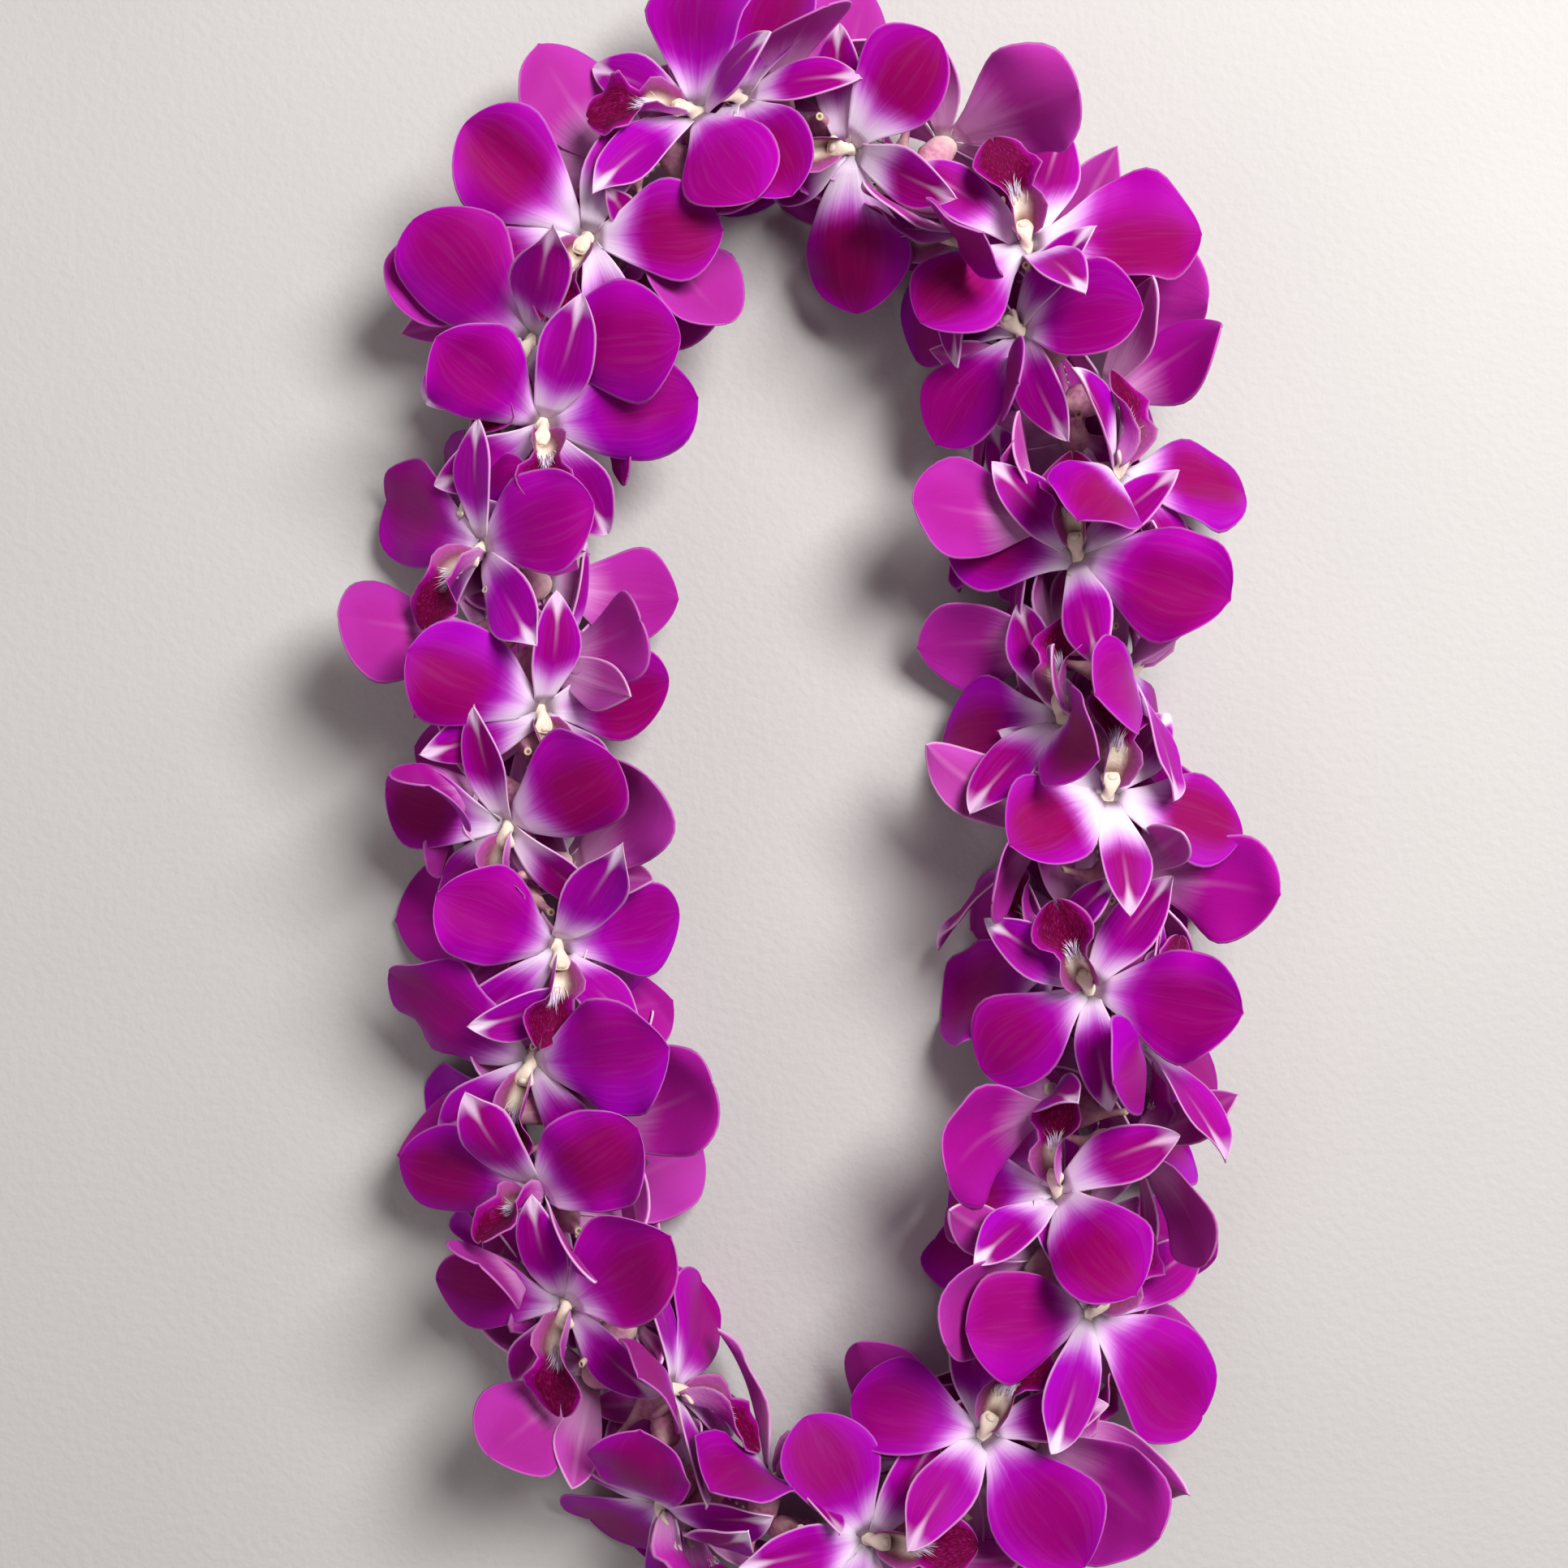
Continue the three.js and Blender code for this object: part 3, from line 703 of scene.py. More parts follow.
def column_ring(front, dorsal, lip_edge, width, shade):
    ring = []
    for side in range(HEART_SIDES):
        angle = TURN * side / HEART_SIDES
        upright = math.copysign(abs(math.cos(angle)) ** COLUMN["roundness"], math.cos(angle))
        middle, depth = (dorsal + lip_edge) / 2, (dorsal - lip_edge) / 2
        across = width * math.sin(angle) * (1 - COLUMN["flare"] * math.cos(angle))
        # painted shade on the column's side towards the lip, in the stigma's hollow
        painted_shade_beneath = shade * max(0.0, -math.cos(angle))
        ring.append((middle + depth * upright, across, front, COLUMN["green"], 0.0, painted_shade_beneath))
    return ring


def cap_ring(share):
    """A ring of the anther cap, whose groove parts it into two lobes."""
    angle = math.pi * (share - 0.5)
    ring = []
    for side in range(HEART_SIDES):
        turn = TURN * side / HEART_SIDES
        lobe = 1 - CAP["groove"] * max(0.0, -math.cos(turn)) ** CAP["narrowness"]
        dorsal = CAP["dorsal"] + CAP["height"] * math.cos(angle) * math.cos(turn) * lobe
        across = CAP["width"] * math.cos(angle) * math.sin(turn)
        ring.append((dorsal, across, CAP["front"] + CAP["depth"] * math.sin(angle), CAP["green"], 0.0, 0.0))
    return ring


print("a ring of the heart has", len(heart_ring(*HEART_RINGS[0])), "corners")


# %% The heart template
def loft(rings, sides):
    """Faces of a closed skin over rings of corners."""
    faces = []
    for row in range(len(rings) - 1):
        for side in range(sides):
            here, there = sides * row + side, sides * row + (side + 1) % sides
            faces.append([here, there, there + sides, here + sides])
    faces.append(list(range(sides))[::-1])
    faces.append([sides * (len(rings) - 1) + side for side in range(sides)])
    return faces


def heart_template():
    body = [heart_ring(*ring) for ring in HEART_RINGS] + [column_ring(*ring) for ring in COLUMN_RINGS]
    cap = [cap_ring((row + 0.5) / CAP["rings"]) for row in range(CAP["rings"])]
    corners, faces = [], []
    for rings in (body, cap):
        start = len(corners)
        faces += [[start + corner for corner in face] for face in loft(rings, HEART_SIDES)]
        corners += [corner for ring in rings for corner in ring]
    places = np.array(corners)[:, :3] * MM
    green, blush, shade = np.array(corners)[:, 3:].T
    # dorsal, right and front make a left-handed set of axes, so the faces turn round
    faces = [face[::-1] for face in faces]
    numbers = {"place": places, "green": green, "blush": blush, "shade": shade}
    return bpy.data.objects.new("heart", mesh_of("heart", places, faces, numbers))


heart = heart_template()
print("heart template:", len(heart.data.polygons), "faces")

# %% [markdown]
# ## A point for every blade, hair and heart
#
# Geometry Nodes will grow a pair of blooms from a cloud of points. A point's place means nothing: what
# counts is the named numbers that it carries, which say what to grow there and how it is bent. Each blade's
# own look, such as the phase of its waves, its curl at the tip or its tone of colour, is drawn here with a
# fixed seed, so that the lei comes out the same every time.

# %% What each kind of blade is like
KINDS = {"petal": 0, "sepal": 1, "lip": 2, "hair": 3, "heart": 4}
LOOKS = {
    # grow and fullness are against the plain blade; gauge, wave, billow and pad are millimetres; waves is how
    # many there are along the blade; and the others are shares of its length or half width
    "petal": {
        "grow": 1.05, "fullness": 0.88, "gauge": 0.28, "wave": 1.2, "waves": 2.2, "billow": 1.5, "pad": 0,
        "waist": 0, "apex": 0.008, "roll": 0.30, "warp": 0.20, "tip_bend": 0.04, "cup_tip": 0.1,
    },
    "sepal": {
        "grow": 1.13, "fullness": 0.78, "gauge": 0.30, "wave": 0.4, "waves": 1.6, "billow": 0.6, "pad": 0,
        "waist": 0, "apex": 0.014, "roll": 0.04, "warp": 0.38, "tip_bend": 0.08, "cup_tip": 0.6,
    },
    "lip": {
        "grow": 1.06, "fullness": 0.66, "gauge": 0.26, "wave": 1.5, "waves": 3.1, "billow": 0.5, "pad": 1.1,
        "waist": 0.40, "apex": -0.12, "roll": 0.12, "warp": 0.10, "tip_bend": -0.04, "cup_tip": -0.15,
    },
}
STUNTED = 0.78  # a blade that had to shrink to find room is grown back part of the way
# blades far out at the side, in mm from the thread, reach over the tube's outline
SPLAY = {"between": (20, 34), "longer": 0.20, "straighter": 0.4, "lower": 0.1, "furthest": 43}
SLIDE = {"outward": 2.5, "leftward": 4.0}  # mm
# blades high on the tube show their faces: mm above the thread, then what share of the way to level they are
# twisted and by how many degrees at most, then how upright a blade is that leans back, and how many degrees
OPEN = {"between": (4, 16), "level": 0.75, "most": 42, "steep": (0.45, 0.9), "back": 30}
# shares of the lip's length or half width, and the radius and rise in mm
BRUSH = {
    "hairs": 54, "from": 0.38, "arc": 0.05, "reach": 0.20, "shorter": 0.3, "spread": 0.46, "fan": 0.2,
    "radius": 0.28, "rise": 1.8,
}
OWN_LOOKS = {
    "fullness": (0.86, 1.22), "wave": (0.4, 1.4), "waves": (0.8, 1.2), "phase": (0, 1), "billow": (-1, 1),
    "apex": (0.1, 1.8), "roll": (-0.6, 1.6), "warp": (-1, 1), "tip_bend": (-1, 1), "tone": (0, 1),
}
HAIR_LOOKS = {
    "aside": (-1, 1), "start": (-0.06, 0.03), "span": (0.5, 1.2), "drift": (-0.1, 0.1),
    "base": (0.2, 1), "rise": (-0.2, 1.1),
}
print("points grow", ", ".join(KINDS))

# %% Draw the looks
LOOK_SEED = 7
NUMBERS = (
    "length", "half_width", "peak", "fullness", "lift", "curl", "twist", "cup_low", "cup_high", "cup_tip",
    "start", "span", "u_at", "spread", "base", "rise", "gauge", "wave", "waves", "billow", "phase", "pad",
    "waist", "apex", "roll", "warp", "tip_bend", "kind", "tone", "bloom_tone", "blade",
)
VECTORS = ("root", "out", "across", "front")


def slide(bloom):
    """Which way and how far a bloom at the side of the tube stands out, in millimetres, most on the left."""
    sideways = bloom["front"] @ bloom["outward"]
    leftward = max(0.0, -math.copysign(1, sideways) * bloom["outward"][0])
    return bloom["outward"] * sideways * (SLIDE["outward"] + SLIDE["leftward"] * leftward)


def draw_looks():
    looks = np.random.default_rng(LOOK_SEED)

    def drawn(ranges):
        return {name: looks.uniform(*limits) for name, limits in ranges.items()}

    for bloom in blooms:
        bloom["slide"] = slide(bloom)
        bloom["tone"] = looks.uniform()
        bloom["own"] = [drawn(OWN_LOOKS) for _ in BLADES]
        bloom["hairs"] = [drawn(HAIR_LOOKS) for _ in range(BRUSH["hairs"])]
        # how freely each blade is shaped: at 0 it is nearly the plain one
        bloom["ease"] = [1.0] * len(BLADES)


draw_looks()
print("looks drawn for", len(blooms), "blooms")

# %% [markdown]
# ## Blades on top show their faces
#
# Petals that stand on edge are thin lines from above. On a lei that has been laid down, the blades on top
# lean back and lie open instead. So a blade's own sideways slope is worked out halfway along it, and a
# twist takes it most of the way to level. One that stands upright leans back as well. Both fade out towards
# the thread's height, because the blades at the sides face outwards as they should.

# %% Turn up the blades on top
def opened(bloom, blade, shape):
    """How much further a blade is lifted and twisted to show its face instead of its edge."""
    _, out, across = blade_axes(bloom, blade, shape)
    slope, twist = shape["lift"] - shape["curl"] / 2, shape["twist"] / 2
    normal = turned(bloom["front"], -out, slope)
    wide, proud = turned(across, normal, twist), turned(normal, -across, twist)
    height = spine_point(bloom, blade, shape, 1)[2] - THREAD_HEIGHT
    share = float(np.interp(height, OPEN["between"], (0, 1)))
    most = math.radians(OPEN["most"])
    to_level = -math.atan(wide[2] / proud[2]) * OPEN["level"]
    steep = float(np.interp(turned(out, bloom["front"], slope)[2], OPEN["steep"], (0, 1)))
    return -share * steep * math.radians(OPEN["back"]), share * max(-most, min(most, to_level))


grown_blades = [
    (bloom, blade, shape)
    for bloom in blooms
    for blade, shape in zip(BLADES, bloom["blades"])
    if shape and blade["kind"] != "lip"
]
turns = [abs(opened(*grown_blade)[1]) for grown_blade in grown_blades]
print(sum(turn > 0 for turn in turns), f"blades turn up, by up to {math.degrees(max(turns)):.0f} degrees")

# %% [markdown]
# ## The numbers on each point
#
# A blade's point holds its plain blade's bends with its own look added. Three things change its size or
# reach: its kind's growth over the plain blade, its recovery if it had to shrink, and the splay of blades
# far out at the side. All of it is scaled by `ease`, which starts at 1. At 0 the blade is nearly the plain
# one again, which helps later, where blades have to make room for each other.

# %% The point of a blade
def blade_point(bloom, index):
    blade = BLADES[index]
    shape, own, ease = (bloom[key][index] for key in ("blades", "own", "ease"))
    root, out, across = blade_axes(bloom, blade, shape)
    look = LOOKS[blade["kind"]]
    # a blade grows, more so where it had to shrink or reaches aside, but no further out than the furthest
    size = shape["size"] ** (1 - (1 - STUNTED) * ease) * (1 + (look["grow"] - 1) * ease)
    tip = spine_point(bloom, blade, shape, 1)
    aside = abs((tip - bloom["centre"]) @ bloom["outward"])
    splay = float(np.interp(aside, SPLAY["between"], (0, 1))) * ease
    size *= 1 + SPLAY["longer"] * splay
    size = min(size, shape["size"] * max(1.0, SPLAY["furthest"] / aside))
    lean, turn = (0, 0) if blade["kind"] == "lip" else opened(bloom, blade, shape)
    cups = [math.radians(cup) + shape["cup"] for cup in blade["cup"]]
    free = {name: look[name] * own[name] * ease for name in ("wave", "billow", "roll", "warp", "tip_bend")}
    return free | {
        "root": (root + bloom["slide"]) * MM, "out": out, "across": across, "front": bloom["front"],
        "length": blade["length"] * size * MM, "half_width": blade["width"] / 2 * size * MM,
        "peak": blade["peak"], "fullness": blade["fullness"] * (look["fullness"] * own["fullness"]) ** ease,
        "lift": shape["lift"] - SPLAY["lower"] * splay * shape["curl"] + lean * ease,
        "curl": shape["curl"] * (1 - SPLAY["straighter"] * splay), "twist": shape["twist"] + turn * ease,
        "cup_low": cups[0], "cup_high": cups[1], "cup_tip": look["cup_tip"] * ease,
        "start": 0, "span": 1, "u_at": 0, "spread": 0, "base": 0, "rise": 0, "pad": look["pad"] * MM,
        "gauge": look["gauge"] * MM, "wave": free["wave"] * size * MM, "waves": look["waves"] * own["waves"],
        "phase": own["phase"], "billow": free["billow"] * size * MM, "waist": look["waist"],
        "apex": look["apex"] * own["apex"], "kind": KINDS[blade["kind"]], "tone": own["tone"],
        "bloom_tone": bloom["tone"], "blade": bloom["index"] * len(BLADES) + index,
    }


print("a blade's point carries", len(NUMBERS), "numbers and", len(VECTORS), "directions and places")


# %% The points of a pair
def hair_points(lip, hairs):
    """A brush of hairs, each rooted at the end of the lip's pad and bending with the lip."""
    for own in hairs:
        aside = own["aside"]
        yield lip | {
            "kind": KINDS["hair"], "blade": -1, "pad": 0, "gauge": BRUSH["radius"] * MM,
            "start": BRUSH["from"] + own["start"] - BRUSH["arc"] * aside**2,
            "span": BRUSH["reach"] * own["span"] * (1 - BRUSH["shorter"] * aside**2),
            "u_at": aside * BRUSH["spread"], "spread": aside * BRUSH["fan"] + own["drift"],
            "base": lip["pad"] * (1 - aside**2) * own["base"], "rise": BRUSH["rise"] * MM * own["rise"],
        }


def heart_point(bloom):
    blank = dict.fromkeys(NUMBERS, 0)
    axes = {"root": (bloom["centre"] + bloom["slide"]) * MM, "out": bloom["dorsal"]}
    axes |= {"across": bloom["right"], "front": bloom["front"]}
    return blank | axes | {"kind": KINDS["heart"], "bloom_tone": bloom["tone"], "blade": -1}


def points_of(pair):
    points = []
    for bloom in blooms[2 * pair:2 * pair + 2]:
        points.append(heart_point(bloom))
        for index, shape in enumerate(bloom["blades"]):
            if shape:
                points.append(blade_point(bloom, index))
                if index == LIP_INDEX:
                    points += list(hair_points(points[-1], bloom["hairs"]))
    return points


def points_mesh(name, points):
    numbers = {key: [point[key] for point in points] for key in NUMBERS + VECTORS}
    return mesh_of(name, [(0, 0, 0)] * len(points), [], numbers)


print(len(points_of(0)), "points grow the first pair of blooms")

# %% [markdown]
# ## The tree that grows the blooms
#
# Instance on Points sets a template on every point of its kind, and Realize Instances turns them into real
# corners, each of which now carries both the template's numbers and its point's. Then Set Position moves
# every corner to where the formula puts it. The middle of a blade is an arc that curls back from its root.
# Across it, the blade is as wide as its outline at that place, cupped, rolled at the margins and waved.
# Every one of these fades in along the blade, so that the root stays narrow and flat, and some fade out
# again before the tip. The same formula, started part of the way along and held to one thin line, lays the
# hairs on the lip.

# %% Numbers of the formula
# how far a blade's outline strays from the rule, as a share of its width, and its waves along and across
UNEVEN = {"share": 0.075, "along": 1.2, "across": 0.3}
# from where to where along a blade each of these fades in or out; its root is at 0 and its tip at 1
FADE_IN = {
    "cup": (0.4, 0.8), "cup_tip": (0.7, 1.0), "wave": (0.1, 0.5), "billow": (0.1, 0.6), "warp": (0.35, 1.0),
    "tip_bend": (0.5, 1.15), "groove": (0.0, 0.3),
}
FADE_OUT = {"roll": (0.62, 0.98), "wave": (0.75, 1.0), "billow": (0.78, 0.99)}
# where along the lip these are, and how far they reach to each side
WAIST = (0.48, 0.17)
PAD = (0.33, 0.13)
# across a blade, 0 is its middle and 1 its margin
HALF_WAY = (0.0, 0.5)
GROOVE = (0.0, 0.16)
ROLLED = (0.5, 1.1)
# how sharply each of these falls off from the root, the margin or the tip
CLAW_POWER = 6
TUCK_POWER = 12
WAVE_POWER = 2.5
APEX_POWER = 5
WAVE_LAG = 0.15  # how much later a wave reaches the margin
BILLOW = {"across": 0.45, "along": 0.5}
LEAST_BEND = 0.0001
TO_FLAT = 8  # a blade counts as lying flat, one side up, unless it stands nearly upright
print(len(FADE_IN) + len(FADE_OUT), "fades shape a blade")


# %% Numbers read from points, and nothing sinks into the surface
def number(tree, name, kind="FLOAT"):
    return tree.node("GeometryNodeInputNamedAttribute", {"data_type": kind}, {"Name": name})


def above(tree, place, least):
    """The same place, but no lower than the least height."""
    parts = tree.node("ShaderNodeSeparateXYZ", {}, {"Vector": place})
    lifted = {"X": parts, "Y": parts.of("Y"), "Z": parts.of("Z").at_least(least)}
    return tree.node("ShaderNodeCombineXYZ", {}, lifted)


def resting(tree, place, gauge, over, proud):
    """A blade that is pressed on the surface keeps its thickness: its upper side lies that much higher."""
    upwards = tree.node("ShaderNodeSeparateXYZ", {}, {"Vector": proud}).of("Z")
    upper_side = (upwards * TO_FLAT).at_least(-1).at_most(1)
    return above(tree, place, gauge * (over * upper_side + 1))


print("nothing will lie below the surface, which is at height 0")


# %% A blade's formula
def blade_formula(tree, claw, tuck, keel):
    """Where a corner of a blade goes, and what its colours will need."""
    get = {name: number(tree, name) for name in NUMBERS + ("s", "u", "beside", "over")}
    out, across, front = (number(tree, name, "FLOAT_VECTOR") for name in ("out", "across", "front"))
    t = get["start"] + get["span"] * get["s"]
    u = get["u"] + get["u_at"] + get["spread"] * get["s"]
    from_middle = u.abs()

    outline = ((t ** get["peak"]) * math.pi).sin().at_least(0.0) ** get["fullness"]
    outline = outline * (1 - get["waist"] * t.bump(*WAIST))
    stray = (t * UNEVEN["along"] + get["phase"] + u * UNEVEN["across"]) * TURN
    outline = outline * (1 + UNEVEN["share"] * stray.sin())
    half = get["half_width"] * outline + claw * (1 - t) ** CLAW_POWER

    reach = t + get["apex"] * from_middle.bump(*HALF_WAY) * t**APEX_POWER
    bend = (get["curl"] * reach / 2).at_least(LEAST_BEND)
    chord = get["length"] * reach * bend.sin() / bend - tuck * (1 - t) ** TUCK_POWER
    rise_angle = get["lift"] - bend
    middle = number(tree, "root", "FLOAT_VECTOR") + out * (chord * rise_angle.cos())
    middle = middle + front * (chord * rise_angle.sin())

    slope = get["lift"] - get["curl"] * t
    twist = get["twist"] * t
    normal = front * slope.cos() - out * slope.sin()
    wide = across * twist.cos() + normal * twist.sin()
    proud = normal * twist.cos() - across * twist.sin()

    comes = {name: t.step(*reaches) for name, reaches in FADE_IN.items()}
    stays = {name: 1 - t.step(*reaches) for name, reaches in FADE_OUT.items()}
    cup = get["cup_low"] + (get["cup_high"] - get["cup_low"]) * comes["cup"]
    cup = cup + get["cup_tip"] * comes["cup_tip"]
    rolled = get["roll"] * half * from_middle.step(*ROLLED) * stays["roll"]
    wave = get["wave"] * ((t * get["waves"] + get["phase"] + u * WAVE_LAG) * TURN).sin()
    wave = wave * from_middle**WAVE_POWER * comes["wave"] * stays["wave"]
    billow = get["billow"] * ((u * BILLOW["across"] + t * BILLOW["along"] + get["phase"]) * TURN).sin()
    billow = billow * comes["billow"] * stays["billow"]
    warp = get["warp"] * half * u * comes["warp"]
    tip_bend = get["tip_bend"] * get["length"] * comes["tip_bend"]
    groove = keel * from_middle.bump(*GROOVE) * comes["groove"]
    pad = get["pad"] * from_middle.bump(*HALF_WAY) * t.bump(*PAD)
    height = half * cup.sin() * u * u - rolled + wave + billow + warp + tip_bend - groove + pad
    height = height + get["base"] + get["rise"] * get["s"]
    place = middle + wide * (half * cup.cos() * u + get["beside"] * get["gauge"])
    place = place + proud * (height + get["over"] * get["gauge"])
    place = resting(tree, place, get["gauge"], get["over"], proud)
    return place, {"t": t, "edge": half * (1 - from_middle), "rib": half * from_middle}


# %% Groups, templates on points, and stored numbers
def group_with_inputs(name, sockets):
    group = bpy.data.node_groups.new(name, "GeometryNodeTree")
    group.interface.new_socket("Geometry", in_out="INPUT", socket_type="NodeSocketGeometry")
    group.interface.new_socket("Geometry", in_out="OUTPUT", socket_type="NodeSocketGeometry")
    for socket, kind in sockets.items():
        group.interface.new_socket(socket, in_out="INPUT", socket_type="NodeSocket" + kind)
    tree = Tree(group)
    return group, tree, tree.node("NodeGroupInput")


def grown(tree, points, template, kinds):
    """One template on each point of the given kinds, as real geometry."""
    kind = number(tree, "kind")
    low, high = kinds
    # kinds are whole numbers, so the limits lie halfway to the next ones
    chosen = kind.math("GREATER_THAN", low - 0.5) * kind.math("LESS_THAN", high + 0.5)
    shape = tree.node("GeometryNodeObjectInfo", {}, {"Object": template}).of("Geometry")
    inputs = {"Points": points, "Selection": chosen, "Instance": shape}
    instances = tree.node("GeometryNodeInstanceOnPoints", {}, inputs)
    return tree.node("GeometryNodeRealizeInstances", {}, {"Geometry": instances})


def stored(tree, geometry, numbers):
    settings = {"data_type": "FLOAT", "domain": "POINT"}
    for name, value in numbers.items():
        inputs = {"Geometry": geometry, "Name": name, "Value": value}
        geometry = tree.node("GeometryNodeStoreNamedAttribute", settings, inputs)
    return geometry


def placed(tree, geometry, place, skin):
    moved = tree.node("GeometryNodeSetPosition", {}, {"Geometry": geometry, "Position": place})
    return tree.node("GeometryNodeSetMaterial", {}, {"Geometry": moved, "Material": skin})


# %% The tree itself
TREE_INPUTS = {
    "Leaf": "Object", "Hair": "Object", "Heart": "Object", "Claw": "Float", "Tuck": "Float", "Keel": "Float",
    "Petal skin": "Material", "Hair skin": "Material", "Heart skin": "Material",
}


def heart_place(tree):
    """Where a corner of a heart goes: its place in the template, along the bloom's own axes."""
    local = tree.node("ShaderNodeSeparateXYZ", {}, {"Vector": number(tree, "place", "FLOAT_VECTOR")})
    names = ("out", "across", "front", "root")
    dorsal, right, front, centre = (number(tree, name, "FLOAT_VECTOR") for name in names)
    place = centre + dorsal * local + right * local.of("Y") + front * local.of("Z")
    return above(tree, place, 0.0)


def blooming_tree():
    group, tree, given = group_with_inputs("blooms", TREE_INPUTS)
    place, numbers = blade_formula(tree, given.of("Claw"), given.of("Tuck"), given.of("Keel"))
    blade_kinds, hair_kinds = (KINDS["petal"], KINDS["lip"]), (KINDS["hair"], KINDS["hair"])
    parts = []
    for template, kinds, skin in (("Leaf", blade_kinds, "Petal skin"), ("Hair", hair_kinds, "Hair skin")):
        blades = stored(tree, grown(tree, given, given.of(template), kinds), numbers)
        parts.append(placed(tree, blades, place, given.of(skin)))
    hearts = grown(tree, given, given.of("Heart"), (KINDS["heart"], KINDS["heart"]))
    parts.append(placed(tree, hearts, heart_place(tree), given.of("Heart skin")))
    joined = tree.node("GeometryNodeJoinGeometry", {}, {"Geometry": parts})
    smooth = tree.node("GeometryNodeSetShadeSmooth", {}, {"Geometry": joined})
    tree.node("NodeGroupOutput", {}, {"Geometry": smooth})
    return group


blooming = blooming_tree()
print("the tree that grows blooms has", len(blooming.nodes), "nodes")

# %% [markdown]
# ## Petal skin
#
# One material colours all blades, and reads which kind it is on. A petal is magenta to violet, with a
# berry-coloured core that lies a little off its middle. It is white at its very root, and in a few blooms
# the white runs far up it. A sepal has a fainter core and ends in a white tip, with a light line that runs
# down from it. The lip is cream in its throat, with painted shade where the throat hollows under the
# column, and velvety wine in front, between magenta side lobes. Backs are paler, rose at the root and
# lilac to magenta further out, with a faint rib. Every margin is pale, partly the blade's own paler edge
# and partly a painted rim highlight, brightest on sepals. Fine veins run from root to tip. Noise that is
# stretched along the leaf's own `t` gives them, both as streaks of colour and as a slight relief.

# %% A colour as a shader wants it
def linear(red, green, blue):
    """A colour given as on a screen, 0 to 255, in the linear light that shaders use: the sRGB rule."""
    def channel(value):
        share = value / 255
        return share / 12.92 if share <= 0.04045 else ((share + 0.055) / 1.055) ** 2.4
    return (channel(red), channel(green), channel(blue), 1.0)


print("a middle grey on a screen is", f"{linear(128, 128, 128)[0]:.2f} in linear light")

# %% The lei's colours
MAGENTA = linear(170, 0, 156)
VIOLET = linear(162, 0, 188)
BERRY = linear(138, 0, 82)
WINE = linear(136, 0, 68)
DARK_WINE = linear(92, 0, 44)
ORCHID = linear(196, 44, 176)
WHITE = linear(243, 222, 249)
LAVENDER = linear(208, 112, 224)
CREAM = linear(240, 226, 206)
PALE_PINK = linear(244, 196, 232)
LILAC = linear(192, 84, 182)
ROSE = linear(214, 150, 204)
DUSTY_ROSE = linear(184, 96, 146)
GREEN = linear(204, 190, 146)
BROWN = linear(112, 84, 52)
# an olive brown that stands for painted shade in hollows: the lip's throat, under the column, in the stalk's
# pit
PAINTED_SHADE_OLIVE = linear(140, 108, 88)
SHEEN_TINT = linear(214, 160, 255)
print("the petals' magenta in linear light:", np.round(MAGENTA, 3))

# %% Helpers for materials
BUMP_STRENGTH = 0.6


def new_material(name):
    material = bpy.data.materials.new(name)
    material.use_nodes = True
    material.node_tree.nodes.clear()
    return material, Tree(material.node_tree)


def mix(tree, share, first, second):
    """A colour between two others."""
    inputs = {"Factor_Float": share, "A_Color": first, "B_Color": second}
    return tree.node("ShaderNodeMix", {"data_type": "RGBA", "clamp_factor": True}, inputs)


def attribute(tree, name):
    return tree.node("ShaderNodeAttribute", {"attribute_name": name}).of("Fac")


def noise(tree, vector, scale, detail):
    """Soft noise from 0 to 1. The detail says how many finer layers are added."""
    inputs = {"Vector": vector, "Scale": scale, "Detail": detail}
    return tree.node("ShaderNodeTexNoise", {}, inputs)


def finish_material(tree, skin, height, height_scale):
    """Adds the skin's own sockets, its relief and the output."""
    relief = {"Height": height, "Distance": height_scale, "Strength": BUMP_STRENGTH}
    bump = tree.node("ShaderNodeBump", {}, relief)
    shader = tree.node("ShaderNodeBsdfPrincipled", {}, skin | {"Normal": bump})
    tree.node("ShaderNodeOutputMaterial", {}, {"Surface": shader})


def roughness(look, pattern):
    """A skin's roughness: its least, and what a pattern from 0 to 1 adds."""
    return look["rough"] + pattern * look["rougher"]


# %% Numbers of the petal skin
# along a blade, 0 is its root and 1 its tip; across it, 0 is its middle and 1 its margin; widths are metres
NOISE_MIDDLE = 0.5
KIND_REACH = 0.5  # kinds are whole numbers, so this tells each from the next
BLADE_SHIFT = 40.0  # moves each blade to its own stretch of noise
VEINS = {"across": 8.0, "along": 1.3, "scale": 1.6, "light": 0.05}
TUFTS = {"across": 14.0, "along": 9.0, "scale": 2.4}
VIOLETS = {"own": 0.5, "clouds": 0.3, "scale": 90.0}
CORE = {
    "shift": 0.6, "across": (0.30, 1.10), "from": (0.16, 0.50), "to": (0.80, 1.05), "paler": 0.6,
    "least": 0.6, "bloom": 0.4, "sepal": 0.25,
}
ROOT = {
    "white": 0.06, "bloom": 0.20, "rarity": 5, "sepal": 0.05, "veins": 0.08, "middle": 0.12,
    "lavender": (-0.02, 0.20), "lavender_share": 0.7, "pure": (-0.14, 0.12),
}
TIP = {"white": (0.82, 1.0), "least": 0.45, "own": 0.55, "point": 0.14, "point_width": 0.0020}
LINE = {"width": 0.0009, "light": 0.30, "from": (0.35, 0.9)}
VELVET = {
    "wine": 0.4, "wine_contrast": 1.6, "orchid": 0.56, "orchid_contrast": 2.4,
    "margin": (0.6, 1.0), "magenta": 0.8,
}
